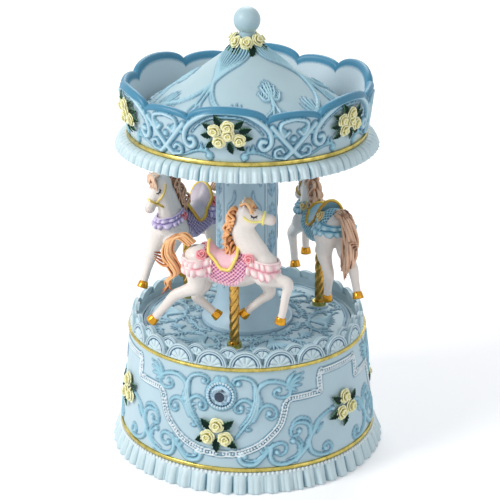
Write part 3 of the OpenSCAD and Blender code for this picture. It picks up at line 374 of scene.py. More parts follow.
@dataclass
class Relief:
    """Heights of low relief over one repeat of a wall, with the darker tone beside its foot, which is partly
    washed-in paint and partly painted shade.

    Attributes:
        width: Length of the repeat along the wall. The field repeats there.
        low: Height at which the field starts, in millimetres.
        high: Height at which it ends.
        columns: Samples along one repeat.
        rows: Samples from low to high.
        scale: Millimetres to one unit along the wall, at a height.
    """

    width: float
    low: float
    high: float
    columns: int
    rows: int
    scale: Callable[[float], float] = lambda y: 1.0

    def __post_init__(self) -> None:
        """Clears the field."""
        self.dx = self.width / self.columns
        self.dy = (self.high - self.low) / (self.rows - 1)
        self.lift, self.halo, self.cover, self.pearl = (np.zeros((self.rows, self.columns)) for _ in range(4))

    def _stamp(self, x: float, y: float, r: float, h: float, pearl: float, sharp: float) -> None:
        """Raises one round spot."""
        mm = max(0.03, self.scale(y))
        reach = r + 0.9
        cols = np.arange(floor((x - reach / mm) / self.dx), ceil((x + reach / mm) / self.dx) + 1)
        rows = np.arange(max(0, floor((y - self.low - reach) / self.dy)),
                         min(self.rows - 1, ceil((y - self.low + reach) / self.dy)) + 1)
        if len(rows) == 0:
            return
        d = np.hypot((cols * self.dx - x)[None, :] * mm, (self.low + rows * self.dy - y)[:, None])
        spot = np.ix_(rows, cols % self.columns)
        body = held(1 - (d / r) ** 2) ** sharp
        self.lift[spot] = np.maximum(self.lift[spot], h * body)
        self.cover[spot] = np.maximum(self.cover[spot], held(1.6 * body))
        # The halo is the band just outside the spot's foot that takes the darker tone, partly washed-in paint and
        # partly painted shade.
        self.halo[spot] = np.maximum(self.halo[spot], held(1 - (d - r) / 0.75))
        if pearl:
            self.pearl[spot] = np.maximum(self.pearl[spot], held(2 * body) * pearl)

    def stroke(self, points: Points, width: float, height: float, swell: Swell = Swell.TAPER,
               end: float = 0.4, pearl: float = 0.0, sharp: float = 0.7) -> None:
        """Draws a raised line.

        Args:
            points: A few (x, y) points that it runs through.
            width: Its greatest width.
            height: Its greatest height.
            swell: How the width runs.
            end: The share of the width that is left at a thin end.
            pearl: How far it is picked out in white, from 0 to 1.
            sharp: Power of its cross-section; less is squarer.
        """
        line = flow(points, 0.22)
        for side in (1, -1):
            for i, (x, y) in enumerate(line):
                t = i / max(1, len(line) - 1)
                share = {Swell.EVEN: 1.0, Swell.TAPER: 1 - (1 - end) * t,
                         Swell.LENS: end + (1 - end) * sin(pi * min(1, max(0, t)))}[swell]
                self._stamp(side * x, y, width / 2 * share, height * (0.4 + 0.6 * share), pearl, sharp)

    def beads(self, points: Points, pitch: float, radius: float, height: float,
              pearl: float = 0.8) -> None:
        """Draws a row of round beads along a line."""
        line = flow(points, 0.1)
        run = np.concatenate([[0], np.cumsum(np.linalg.norm(np.diff(line, axis=0), axis=1))])
        count = max(1, round(run[-1] / pitch))
        for step in range(count + 1):
            at = run[-1] * step / count
            self.knob([float(np.interp(at, run, line[:, k])) for k in (0, 1)], radius, height, pearl)

    def knob(self, point: Point, radius: float, height: float, pearl: float = 0.0) -> None:
        """Draws one round knob and its mirror image."""
        for side in (1, -1):
            self._stamp(side * point[0], point[1], radius, height, pearl, 0.6)

    def leaf(self, root: Point, tip: Point, width: float, height: float, bend: float = 0.0) -> None:
        """Draws one acanthus leaflet from its root to its tip, bent sideways by a share of its length."""
        (x0, y0), (x1, y1) = root, tip
        mid = ((x0 + x1) / 2 - bend * (y1 - y0), (y0 + y1) / 2 + bend * (x1 - x0))
        self.stroke([root, mid, tip], width, height, Swell.LENS, 0.25)

    def tuft(self, root: Point, angle: float, spread: float, count: int, length: float, width: float,
             height: float) -> None:
        """Draws a fan of leaflets around a direction, in degrees."""
        for i in range(count):
            t = i / (count - 1) - 0.5 if count > 1 else 0.0
            a = radians(angle + spread * t)
            reach = length * (1 - 0.5 * abs(t))
            tip = (root[0] + reach * cos(a), root[1] + reach * sin(a))
            self.leaf(root, tip, width, height, 0.18 * (1 if t > 0 else -1))

    def fronds(self, points: Points, count: int, length: float, width: float, height: float,
               angle: float = 50.0) -> None:
        """Draws pairs of leaflets that spring forward from both sides of a line, shorter towards its end."""
        line = flow(points, 0.4)
        for k in range(count):
            i = round((k + 0.5) / count * (len(line) - 2))
            (x, y), (run, rise) = line[i], line[i + 1] - line[i]
            mm = max(0.03, self.scale(y))
            ahead = atan2(rise, run * mm)
            reach = length * (1 - 0.45 * k / count)
            for side in (1, -1):
                a = ahead + side * radians(angle)
                self.leaf((x, y), (x + reach * cos(a) / mm, y + reach * sin(a)), width, height, 0.0)

    def wash(self) -> np.ndarray:
        """Where the darker tone lies beside the relief's foot, from 0 to 1: washed-in paint and painted shade
        together.
        """
        return held(self.halo - self.cover) ** 1.7

    def around(self, values: np.ndarray, repeats: int, turn: float, y: Optional[np.ndarray] = None) -> np.ndarray:
        """One field repeated round the wall.

        Args:
            values: The field.
            repeats: Number of repeats.
            turn: Azimuth of x = 0, in degrees.
            y: Heights to sample it at, rows by columns; its own rows if left out.

        Returns:
            The values, rows by columns.
        """
        whole = np.tile(values, (1, repeats))
        whole = np.roll(whole, round(turn / 360 * whole.shape[1]), axis=1)
        if y is None:
            return whole
        row = np.clip((y - self.low) / self.dy, 0, self.rows - 1.001)
        first = row.astype(int)
        column = np.broadcast_to(np.arange(whole.shape[1]), row.shape)
        share = row - first
        return whole[first, column] * (1 - share) + whole[first + 1, column] * share


def unit(rows: np.ndarray) -> np.ndarray:
    """Vectors made one long, one row each."""
    return rows / (np.linalg.norm(rows, axis=1)[:, None] + 1e-9)


def placed(name: str, data: bpy.types.ID) -> bpy.types.Object:
    """A new object in the scene."""
    obj = bpy.data.objects.new(name, data)
    bpy.context.scene.collection.objects.link(obj)
    return obj


def points_of(mesh: bpy.types.Mesh) -> np.ndarray:
    """A mesh's points, one row each."""
    flat = np.empty(len(mesh.vertices) * 3, np.float32)
    mesh.vertices.foreach_get("co", flat)
    return flat.reshape(-1, 3)


def shade_points(mesh: bpy.types.Mesh, shades: dict) -> None:
    """Writes shades, one value a point, as the mesh's attributes."""
    for name, values in shades.items():
        layer = mesh.attributes.get(name) or mesh.attributes.new(name, "FLOAT", "POINT")
        layer.data.foreach_set("value", values.astype(np.float32))


def tones(lift: Any, wash: Any = 0.0, pearl: Any = 0.0) -> dict:
    """A resin's shades: how far it is raised, how far darkened by washed-in paint and painted shade, and how far
    picked out in white, which on the crown's inside is painted light. None has the blue rim.
    """
    size = np.shape(lift)
    return {"lift": lift, "wash": np.broadcast_to(wash, size), "rim": np.zeros(size),
            "pearl": np.broadcast_to(pearl, size)}


class Form:
    """A piece in the making: meshes in millimetres that become one object."""

    def __init__(self, name: str) -> None:
        """Starts an empty piece."""
        self.name = name
        self.parts: list[bpy.types.Mesh] = []

    def keep(self, part: bmesh.types.BMesh, recalc: bool = True, shades: Optional[dict] = None) -> None:
        """Adds a finished bmesh, and gives every point the same shades."""
        if recalc:
            bmesh.ops.recalc_face_normals(part, faces=part.faces)
        mesh = bpy.data.meshes.new(self.name)
        part.to_mesh(mesh)
        part.free()
        shade_points(mesh, {name: value(points_of(mesh)) if callable(value) else np.full(len(mesh.vertices), value)
                            for name, value in (shades or {}).items()})
        self.parts.append(mesh)

    def grid(self, points: np.ndarray, shades: dict, around: bool = False, along: bool = False,
             caps: bool = False, thickness: float = 0.0) -> None:
        """Adds a sheet, tube or ring from a grid that is bent into place.

        Args:
            points: Rows by columns by three coordinates.
            shades: Attribute values, rows by columns.
            around: Whether the last column joins the first.
            along: Whether the last row joins the first.
            caps: Whether open ends are filled.
            thickness: Wall thickness to give an open sheet.
        """
        for axis, closed in ((1, around), (0, along)):
            if closed:
                points, *values = (np.concatenate([rows, np.take(rows, [0], axis)], axis)
                                   for rows in (points, *shades.values()))
                shades = dict(zip(shades, values))
        rows, cols = points.shape[:2]
        part = bmesh.new()
        bmesh.ops.create_grid(part, x_segments=cols - 1, y_segments=rows - 1, size=1.0)
        mesh = bpy.data.meshes.new(self.name)
        part.to_mesh(mesh)
        flat = points_of(mesh)
        i = np.rint((flat[:, 0] + 1) / 2 * (cols - 1)).astype(int)
        j = np.rint((flat[:, 1] + 1) / 2 * (rows - 1)).astype(int)
        mesh.vertices.foreach_set("co", points[j, i].astype(np.float32).ravel())
        shade_points(mesh, {name: value[j, i] for name, value in shades.items()})
        part.clear()
        part.from_mesh(mesh)
        bpy.data.meshes.remove(mesh)
        bmesh.ops.remove_doubles(part, verts=part.verts, dist=0.0005)
        if caps:
            bmesh.ops.holes_fill(part, edges=[e for e in part.edges if e.is_boundary], sides=0)
        bmesh.ops.recalc_face_normals(part, faces=part.faces)
        if thickness:
            bmesh.ops.solidify(part, geom=part.faces, thickness=thickness)
            bmesh.ops.recalc_face_normals(part, faces=part.faces)
        self.keep(part, False)

    def tube(self, points: Points, radii: Union[float, Sequence[float]], sides: int, step: float,
             lift: Optional[Callable[[np.ndarray, np.ndarray], np.ndarray]] = None, closed: bool = False) -> None:
        """Adds a round strand along a smooth line.

        Args:
            points: A few points that it runs through.
            radii: A radius for each point, or one for all.
            sides: Sides of its cross-section.
            step: Distance between its rings.
            lift: Gives its painted light and shade from its middle line and the outward directions of its sides;
            if left out, painted light on the side towards -Y and up and painted shade on the other.
            closed: Whether it joins up with itself.
        """
        line = flow([(*p, r) for p, r in zip(points, np.broadcast_to(radii, len(points)))], step, closed)
        centre, radius = line[:, :3], np.clip(line[:, 3], 0.02, None)
        ahead = unit(np.roll(centre, -1, 0) - np.roll(centre, 1, 0) if closed else np.gradient(centre, axis=0))
        side = unit(np.cross(ahead, np.array([0.31, -0.86, 0.4])))
        up = np.cross(side, ahead)
        turn = np.arange(sides) * 2 * pi / sides
        ring = np.cos(turn)[None, :, None] * side[:, None] + np.sin(turn)[None, :, None] * up[:, None]
        # Painted light and shade: by default light on the side towards -Y and up, dark on the other.
        shade = lift(centre, ring) if lift else np.tile(0.5 + 0.5 * np.sin(turn), (len(centre), 1))
        self.grid(centre[:, None, :] + radius[:, None, None] * ring, {"lift": shade}, around=True, along=closed,
                  caps=not closed)

    def ball(self, centre: Point, size: Point, detail: int = 2, shades: Optional[dict] = None) -> None:
        """Adds an ellipsoid with half-axes of that size."""
        self.egg(Matrix.Translation(centre) @ Matrix.Diagonal((*size, 1)), detail, shades)

    def egg(self, place: Matrix, detail: int = 3, shades: Optional[dict] = None) -> None:
        """Adds a ball of radius 1 that a matrix places and stretches."""
        part = bmesh.new()
        bmesh.ops.create_icosphere(part, subdivisions=detail, radius=1.0, matrix=place)
        self.keep(part, False, shades or {"lift": 0.6})

    def rod(self, foot_r: float, top_r: float, length: float, place: Matrix, segments: int, shades: dict) -> None:
        """Adds a closed cone or cylinder whose middle a matrix places."""
        part = bmesh.new()
        bmesh.ops.create_cone(part, cap_ends=True, segments=segments, radius1=foot_r, radius2=top_r, depth=length,
                              matrix=place)
        self.keep(part, True, shades)

    def copies(self, source: "Form", places: Iterable[Matrix]) -> None:
        """Adds the parts of another form at each place."""
        for place in places:
            for mesh in source.parts:
                copy = mesh.copy()
                copy.transform(place)
                self.parts.append(copy)

    def mesh(self) -> bpy.types.Mesh:
        """Joins the parts into one mesh, still in millimetres."""
        objects = [placed(self.name, mesh) for mesh in self.parts]
        if len(objects) > 1:
            with bpy.context.temp_override(active_object=objects[0], object=objects[0],
                                           selected_objects=objects, selected_editable_objects=objects):
                bpy.ops.object.join()
        whole = objects[0].data
        bpy.data.objects.remove(objects[0])
        self.parts = [whole]
        return whole

    def finish(self, body: str, slot: str, finish: Any, replaces: Sequence[str] = (), sharp: float = 48.0) -> None:
        """Makes the piece's object, dressed and riding on its body.

        Args:
            body: The CAD body that it rides on.
            slot: The record's material slot; not used.
            finish: Its finish.
            replaces: The CAD nodes that it stands for.
            sharp: Edges steeper than this, in degrees, stay crisp.
        """
        mesh = self.mesh()
        mesh.transform(Matrix.Scale(MM, 4))
        mesh.materials.clear()
        mesh.materials.append(dressed(finish))
        mesh.shade_smooth()
        mesh.set_sharp_from_angle(angle=radians(sharp))
        mesh.name = self.name
        obj = placed(self.name, mesh)
        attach(obj, body)
        if replaces:
            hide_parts(*replaces)
        log.info("%s: %d faces on %s", self.name, len(mesh.polygons), body)


def polar(azimuth: np.ndarray, radius: np.ndarray, z: np.ndarray) -> np.ndarray:
    """Points at azimuths in degrees, which start at -Y and grow towards +X."""
    a = np.radians(azimuth)
    return np.stack([radius * np.sin(a), -radius * np.cos(a), z + 0 * a], axis=-1)


def revolved(form: Form, radius: np.ndarray, z: np.ndarray, lift: np.ndarray, shades: dict,
             back: float = 0.0, wall: Points = ()) -> None:
    """Adds a closed skin of revolution with relief on it.

    Args:
        form: The piece that takes it.
        radius: Radii, rows by one or by columns, from the bottom or the outside upwards or inwards.
        z: Heights, in the same shape.
        lift: Relief above that surface, rows by columns.
        shades: Attribute values, rows by columns.
        back: Distance of the plain wall behind the skin; 0 joins the last row to the first.
        wall: Radii and heights of a plain wall instead, from the last row round to the first.
    """
    rows, columns = lift.shape
    radius, z = np.broadcast_to(radius, lift.shape), np.broadcast_to(z, lift.shape)
    along_r, along_z = np.gradient(radius, axis=0), np.gradient(z, axis=0)
    length = np.hypot(along_r, along_z) + 1e-9
    out_r, out_z = along_z / length, -along_r / length
    azimuth = np.broadcast_to(np.arange(columns)[None, :] * 360.0 / columns, lift.shape)
    points = polar(azimuth, radius + out_r * lift, z + out_z * lift)
    behind = [polar(azimuth[:1], radius[k:k + 1] - out_r[k:k + 1] * back, z[k:k + 1] - out_z[k:k + 1] * back)
              for k in ((rows - 1, 0) if back else ())]
    behind += [polar(azimuth[:1], np.full((1, columns), r), np.full((1, columns), height)) for r, height in wall]
    shades = {name: np.concatenate([value, np.zeros((len(behind), columns))]) for name, value in shades.items()}
    form.grid(np.concatenate([points, *behind]), shades, around=True, along=True)


def seat(point: Point, normal: Point, spin: float = 0.0, size: float = 1.0) -> Matrix:
    """Place of a small piece whose back lies at a point and whose front looks along a normal.

    Args:
        point: Where it sits.
        normal: Outward direction.
        spin: Degrees that it is turned about the normal.
        size: Scale.
    """
    out = Vector(normal).normalized()
    side = Vector((0, 0, 1)).cross(out)
    side = Vector((1, 0, 0)) if side.length < 1e-3 else side.normalized()
    up = out.cross(side)
    facing = Matrix((side, up, out)).transposed().to_4x4()
    return Matrix.Translation(point) @ facing @ Matrix.Rotation(radians(spin), 4, "Z") @ Matrix.Scale(size, 4)


@dataclass(frozen=True)
class Cone:
    """A wall whose radius changes evenly with height.

    Attributes:
        foot_r: Radius at foot_z.
        foot_z: Height of its foot.
        slope: Growth of the radius per millimetre of height.
    """

    foot_r: float
    foot_z: float
    slope: float

    def radius(self, z: Any) -> Any:
        """Radius at a height."""
        return self.foot_r + (z - self.foot_z) * self.slope

    def place(self, azimuth: float, z: float, proud: float = 0.0, spin: float = 0.0, size: float = 1.0) -> Matrix:
        """Seat of a piece on the wall."""
        a = radians(azimuth)
        normal = Vector((sin(a), -cos(a), -self.slope)).normalized()
        r = self.radius(z)
        return seat(Vector((r * sin(a), -r * cos(a), z)) + normal * proud, normal, spin, size)


DRUM = Cone(48.6, 7.6, -0.0992)
CROWN = Cone(43.4, 124.7, 0.1419)
RUN = 0.8138  # Millimetres of the drum's wall to a degree.
CROWN_RUN = 0.7768  # The same of the crown's wall.
ROTOR = 3.0  # Azimuth of the first horse at rest, in degrees.
ORBIT = 30.0  # Distance of the poles from the axis.
PAD_Z = 49.3  # Height of the pads that they stand on.


# Walls of resin


@dataclass(frozen=True)
class DrumWall:
    """The drum with the scrollwork, frames and beads cast on its wall.

    Attributes:
        low: Height at which the relief starts.
        high: Height at which it ends.
        panel: Length of one of its three panels along the wall.
        columns: Samples along a panel.
        rows: Samples from low to high.
        gem_z: Height of a crystal's middle.
        gem_ring: Radius of the moulding around it.
        pillar_r: Radius of a screw pillar inside.
        pillar_at: Its distance from the axis.
        pillar_z: Height of its middle.
        pillar_length: Its length.
    """

    low: float = 8.6
    high: float = 45.2
    panel: float = 97.6
    columns: int = 264
    rows: int = 108
    gem_z: float = 36.9
    gem_ring: float = 5.3
    pillar_r: float = 3.0
    pillar_at: float = 38.3
    pillar_z: float = 28.25
    pillar_length: float = 28.5

    INSIDE = [(44.9, 45.3), (44.7, 46.9), (40.2, 46.9), (40.2, 45), (4, 45), (4, 42), (41.5, 42), (41.5, 14),
              (43, 14), (43, 0), (47.1, 0), (47.1, 7.6), (48.6, 7.6), (48.56, 8.5)]
    LYRE = [(5.5, 20.5), (8.5, 24.7), (11.6, 29.3), (13.2, 34.7), (13.2, 38.5), (12.4, 41.6), (10.5, 43.3),
            (7.8, 43.8), (5.5, 43.2), (4.7, 42), (5.6, 41), (6.6, 41.6)]
    BRANCH = [(13.5, 38.5), (14.7, 40.5), (17.8, 42), (21.6, 41.6), (24.7, 40.1), (26, 38), (25.5, 36.3),
              (23.5, 35.6), (21.2, 36), (19.8, 37.2), (20.3, 38.6), (21.6, 38.6)]
    INNER_CURL = [(12.8, 33), (9.5, 35.3), (6.8, 34.6), (5.2, 32.6), (6, 30.8), (7.8, 31), (7.6, 32.4)]
    OUTER_CURL = [(12, 27.5), (14.7, 32), (17.4, 33.1), (20, 31.6), (20.4, 29), (18.5, 27.8), (17, 29), (17.8, 30)]
    FRAME = [(1.2, 14.3), (7, 15), (13.2, 17.4), (17.8, 20.8), (21.6, 25), (23.2, 29.3), (24.3, 33.2),
             (25.6, 34.7), (31.5, 34.9), (36.5, 35.05), (38.1, 35.1), (38.5, 35.5), (38.5, 37), (38.5, 40.6),
             (38.5, 42), (38.9, 42.4), (40.5, 42.4), (44.5, 42.4), (48.8, 42.4)]
    SCROLLS = [
        [(8.9, 13.6), (8.2, 14.4), (7.2, 13.8), (7.2, 12.3), (8.8, 10.7), (12.4, 10.6), (15.5, 13.5), (18.5, 17),
         (21.6, 18.2), (23.8, 17), (23.5, 14.5), (21.5, 13.6), (20.3, 14.8)],
        [(18.2, 16.2), (18, 13.2), (19.6, 10.6), (23.5, 9.8), (27.5, 11.4), (29.3, 14.5), (28.2, 17.2), (26.4, 18.3)],
        [(27.3, 10.8), (31.2, 14.5), (33, 17.5), (33.5, 20.8), (32.4, 23.9), (28.8, 25.1), (26, 23.4), (26, 20.7),
         (28.2, 20.3), (29, 21.8)],
        [(32, 16.6), (34.5, 20.5), (37, 24), (41, 26.2), (44, 26.8)],
        [(32.5, 17.5), (33.5, 13), (37, 10.6), (41.2, 10.3), (42.6, 12.4), (41, 14.3), (39.2, 13.6), (39.5, 12.4)]]

    def relief(self) -> Relief:
        """Draws one third of the wall."""
        art = Relief(self.panel, self.low, self.high, self.columns, self.rows)
        for shift, width in ((0.0, 1.5), (-1.5, 1.15), (1.35, 1.15)):
            start = 0 if shift == 0 else 1
            stem = [(x + shift * (1 - i / 7), y) for i, (x, y) in enumerate(self.LYRE[start:7], start)]
            art.stroke(stem + self.LYRE[7:] if shift == 0 else stem, width, 1.1, Swell.LENS, 0.5)
        for branch, width, height in ((self.BRANCH, 1.7, 0.95), (self.INNER_CURL, 1.5, 0.9),
                                      (self.OUTER_CURL, 1.6, 0.9)):
            art.stroke(branch, width, height, end=0.55)
        for tip in ((31.5, 43.8), (31.2, 41.6), (30.5, 39.3), (28.5, 37.4), (28, 44.6)):
            art.leaf((24.5, 38.7), tip, 1.5, 0.85, 0.12)
        for scroll in self.SCROLLS:
            art.stroke(scroll, 1.9, 1.0, end=0.5)
            art.knob(scroll[-1], 1.0, 1.1)
        for scroll, offset in zip(self.SCROLLS, (1.5, 1.5, 1.6)):
            inner = [(x + 0.35 * offset, y + offset) for x, y in scroll[3:8]]
            art.stroke(inner, 1.1, 0.7, Swell.LENS, 0.3)
        for scroll in (self.LYRE, self.BRANCH, self.INNER_CURL, self.OUTER_CURL):
            art.knob(scroll[-1], 1.0, 1.15)
        art.stroke([(36, 19.3), (37.4, 21), (39, 22.5)], 1.3, 0.7, Swell.LENS, 0.3)
        art.stroke([(34.2, 20.3), (36.4, 21.6), (37.6, 24)], 1.1, 0.7, Swell.LENS, 0.3)
        for root, angle, count in (((13.2, 33), 60, 3), ((12.3, 30), 140, 3), ((28.5, 14.5), 20, 3),
                                   ((16.5, 14.8), 110, 3), ((33.2, 20.5), 20, 3), ((8.8, 24.7), 20, 2)):
            art.tuft(root, angle, 70, count, 3.4, 1.2, 0.7)
        art.tuft((0, 43.6), -90, 110, 5, 4.2, 1.5, 0.9)
        line = flow(self.FRAME, 0.4)
        ahead = np.gradient(line, axis=0)
        ahead /= np.linalg.norm(ahead, axis=1)[:, None]
        side = np.stack([-ahead[:, 1], ahead[:, 0]], 1)
        for offset in (-0.95, 0.95):
            rail = [(0, 14.2 + offset)] + list(line[::6] + side[::6] * offset)
            art.stroke(rail, 0.75, 0.5, Swell.EVEN, pearl=0.95)
        art.beads(self.FRAME, 1.15, 0.52, 0.55, 1.0)
        ring = [(self.gem_ring * cos(a), self.gem_z + self.gem_ring * sin(a))
                for a in np.linspace(-pi / 2, pi / 2, 14)]
        art.stroke(ring, 1.3, 0.6, Swell.EVEN)
        return art

    def build(self) -> None:
        """Makes the wall's skin over the drum."""
        art = self.relief()
        z = np.linspace(art.low, art.high, art.rows)[:, None]
        edge = held(np.minimum(z - art.low, art.high - z) / 0.8)
        lift = art.around(art.lift, 3, 0) * edge
        form = Form("drum_relief")
        revolved(form, DRUM.radius(z) + 0.06, z, lift,
                 tones(lift, art.around(art.wash(), 3, 0), art.around(art.pearl, 3, 0)), wall=self.INSIDE)
        for azimuth in (60, 180, 300):
            form.rod(self.pillar_r, self.pillar_r, self.pillar_length,
                     seat(polar(azimuth, self.pillar_at, self.pillar_z), (0, 0, 1)), 32, tones(0.0))
        form.finish("root", "blue_resin", DRUM_RESIN, ["base_drum"])


@dataclass(frozen=True)
class Ruffle:
    """Gathers of soft pleats around a foot or a canopy.

    Attributes:
        name: Its name.
        body: The body that it rides on.
        node: The CAD node that it replaces.
        profile: Closed section as (radius, height, how far the pleats move it).
        pleats: Number of pleats.
        seed: Chooses how uneven they are.
        hem: How far the hem rises and falls.
        columns: Samples around it.
    """

    name: str
    body: str
    node: str
    profile: Points
    pleats: int
    seed: int
    hem: float
    columns: int = 1200

    @staticmethod
    def _wave(azimuth: np.ndarray, count: int, seed: int) -> np.ndarray:
        """Uneven pleats from -1 to 1."""
        rng = random.Random(seed)
        phase = np.radians(azimuth) * count
        for k in (3, 5, 8, 13):
            phase = phase + rng.uniform(0.5, 1.1) * np.sin(np.radians(azimuth) * k + rng.uniform(0, 6))
        depth = 0.8 + 0.2 * np.sin(np.radians(azimuth) * 7 + rng.uniform(0, 6))
        return ((np.abs(np.sin(phase / 2)) ** 0.7 * 2 - 1) * depth)[None, :]

    def build(self) -> None:
        """Makes the ruffle."""
        section = flow(self.profile, 0.45, closed=True)
        azimuth = np.arange(self.columns) * 360.0 / self.columns
        wave = self._wave(azimuth, self.pleats, self.seed)
        fine = self._wave(azimuth, self.pleats * 2 + 7, self.seed + 5)
        weight = section[:, 2:3]
        free = held(weight * 3)
        lowest = (section[:, 1:2].max() - section[:, 1:2]) / np.ptp(section[:, 1])
        radius = section[:, :1] + weight * wave + 0.34 * weight * fine
        z = section[:, 1:2] + self.hem * lowest ** 2 * (wave - 0.2) * free
        # Painted light and shade: the pleats' crests are lighter and the valleys between them darker.
        lift = held(0.5 + (0.42 * wave + 0.16 * fine) * free)
        form = Form(self.name)
        form.grid(polar(np.broadcast_to(azimuth, z.shape), radius, z), tones(lift, held(0.95 - 1.9 * lift)),
                  around=True, along=True)
        form.finish(self.body, "ruffle_resin", RUFFLE_RESIN, [self.node])


@dataclass(frozen=True)
class Drops:
    """The row of hanging drops above the base ruffle.

    Attributes:
        count: Number of drops.
        radius: Radius of a drop.
        ring: Distance of their middles from the axis.
        z: Height of their middles.
    """

    count: int = 188
    radius: float = 0.62
    ring: float = 49.35
    z: float = 6.95

    def build(self) -> None:
        """Makes the drops."""
        drop = Form("drop")
        part = bmesh.new()
        bmesh.ops.create_uvsphere(part, u_segments=8, v_segments=6, radius=self.radius,
                                  matrix=Matrix.Diagonal((1, 0.9, 1.35, 1)))
        drop.keep(part, False, tones(1.0, pearl=0.7))
        form = Form("drop_pearls")
        form.copies(drop, [Matrix.Rotation(2 * pi * k / self.count, 4, "Z")
                           @ Matrix.Translation((0, -self.ring, self.z)) for k in range(self.count)])
        form.finish("root", "ruffle_resin", RUFFLE_RESIN)


@dataclass(frozen=True)
class Parapet:
    """The fence of fans around the deck.

    Attributes:
        count: Number of fans, and of the bumps between them.
        start: Azimuth of the first fan, in degrees.
        lean: How far the fans lean outwards, in degrees.
        thickness: Thickness of a fan's plate.
        fan: A fan's radius, its distance from the axis and the height of its foot.
        bump: The same for a bump, which stands behind.
    """

    count: int = 22
    start: float = 11.1
    lean: float = 6.0
    thickness: float = 1.2
    fan: Point = (5.95, 43.6, 47.4)
    bump: Point = (4.1, 42.1, 50.2)

    @staticmethod
    def _fan(radius: float, petals: int, depth: float) -> Form:
        """One half-round fan, which stands on the origin and looks along -Y."""
        form = Form("fan")
        rho = np.concatenate([[0.02], np.linspace(0.09, 0.62, 9), np.linspace(0.66, 1.0, 12)])[:, None]
        theta = np.linspace(0, pi, 66)[None, :]
        bow = lambda centre, width: np.exp(-((rho - centre) / width) ** 2)
        inside = held((rho - 0.1) / 0.12) * held((0.7 - rho) / 0.08)
        petal = np.abs(np.sin(theta * petals / 2 + pi / 2 * ((petals + 1) % 2)))
        height = (0.42 * bow(0.95, 0.055) + 0.34 * bow(0.8, 0.05) + 0.6 * np.exp(-(rho / 0.16) ** 2)
                  + inside * (0.08 + 0.42 * petal ** 0.7 * (0.4 + rho)))
        height = height - 0.3 * held(rho - 0.98) / 0.02
        # The fan's raised rings and petals are picked out lighter, and its hollows take a darker tone that is partly
        # washed-in paint and partly painted shade.
        lift = held(height / 0.45)
        wash = held(1 - 2.0 * lift) * held((1.0 - rho) / 0.05)
        x, z = rho * radius * -np.cos(theta), rho * radius * np.sin(theta)
        front = np.stack([x, -depth / 2 - height, z], -1)
        back = np.stack([x[-1], 0 * x[-1] + depth / 2, z[-1]], -1)[None]
        hub = np.stack([0 * x[0], 0 * x[0] + depth / 2, 0 * x[0]], -1)[None]
        pad = np.zeros((2, lift.shape[1]))
        form.grid(np.concatenate([front, back, hub]),
                  tones(np.concatenate([lift, pad + 0.5]), np.concatenate([wash, pad])), along=True, caps=True)
        return form

    def build(self) -> None:
        """Makes the ring, the fans and the bumps behind them."""
        form = Form("parapet_fans")
        kerb = [(44.5, 46.9), (44.75, 47.5), (44.4, 47.9), (43.6, 48.1), (40.3, 47.9), (40.3, 46.9)]
        fence = [(42.6, 47.2), (42.5, 50.4), (41.6, 50.6), (41.4, 47.2)]
        lean = Matrix.Rotation(radians(self.lean), 4, "X").inverted()
        self._ring(form, kerb, 0.4)
        for (radius, ring, foot), petals, shift in ((self.fan, 10, 0.0), (self.bump, 7, 180 / self.count)):
            form.copies(self._fan(radius, petals, self.thickness),
                        [Matrix.Rotation(radians(self.start + shift + 360 / self.count * k), 4, "Z")
                         @ Matrix.Translation((0, -ring, foot)) @ lean for k in range(self.count)])
        self._ring(form, fence, 0.3)
        form.finish("root", "blue_resin", FAN_RESIN, ["parapet"])

    @staticmethod
    def _ring(form: Form, section: Points, lift: float) -> None:
        """Adds a plain ring whose section has these radii and heights."""
        radius, z = np.array(section).T[:, :, None]
        flat = np.zeros((len(section), 192))
        revolved(form, radius, z, flat, tones(flat + lift))


@dataclass(frozen=True)
class Deck:
    """The turning deck with its blue-washed palmettes.

    Attributes:
        hub_r: Radius at which the relief starts, under the column.
        rim_r: Radius of the deck.
        z: Height of its top.
        columns: Samples along a sixth of it.
        rows: Samples from the hub to the rim.
        thickness: Thickness of the skin.
    """

    hub_r: float = 11.0
    rim_r: float = 39.3
    z: float = 48.53
    columns: int = 168
    rows: int = 90
    thickness: float = 0.8

    def build(self) -> None:
        """Makes the deck."""
        art = Relief(60.0, self.hub_r, self.rim_r, self.columns, self.rows, lambda y: y * pi / 180)
        for k in range(-5, 6):
            art.leaf((0.35 * k, 24.4), (3.7 * k, 33.6 - 0.2 * k * k), 1.15, 0.8, 0.06 * k)
        art.knob((0, 24), 1.2, 0.8, 0.3)
        for line, width, height, count, length, thin in (
                ([(3, 24), (9, 23.6), (15, 25.6), (18.5, 29.6), (15.6, 33.6), (11.5, 32.4), (12.6, 30)],
                 1.3, 0.8, 7, 2.6, 0.85),
                ([(30, 20.8), (22, 21.4), (15, 21.4), (9, 19.4), (11, 17.8), (14.5, 18.6)], 1.2, 0.7, 6, 2.4, 0.8),
                ([(30, 34.2), (26, 36.2), (21.5, 36), (19.8, 34.2), (22.4, 33.4)], 1.1, 0.7, 4, 2.0, 0.75)):
            art.stroke(line, width, height)
            art.fronds(line, count, length, thin, 0.6)
        for k in range(-3, 4):
            art.leaf((30, 25), (30 + 3.6 * k, 30.6 - 0.35 * k * k), 0.95, 0.75, 0.06 * k)
        art.stroke([(0, 37.6), (10, 37.8), (20, 37.8), (30, 37.6)], 0.8, 0.35, Swell.EVEN)
        radius = np.linspace(self.rim_r, self.hub_r, self.rows)[:, None]
        edge = held((self.rim_r - radius) / 0.9) * held((radius - 16.5) / 1.5)
        lift = art.around(art.lift, 6, 30 + ROTOR)[::-1] * edge
        # Painted shade: darker in a band at the deck's rim against the parapet and around the column's foot, besides
        # the relief's own darker tone.
        wash = np.maximum(art.around(art.wash(), 6, 30 + ROTOR)[::-1],
                          held(1 - (self.rim_r - radius) / 1.6) * 0.7
                          + held(1 - (radius - 17) / 2.4) * 0.8)
        form = Form("deck_relief")
        revolved(form, radius, radius * 0 + self.z, lift, tones(lift, wash), self.thickness)
        form.finish("carousel", "blue_resin", DECK_RESIN)


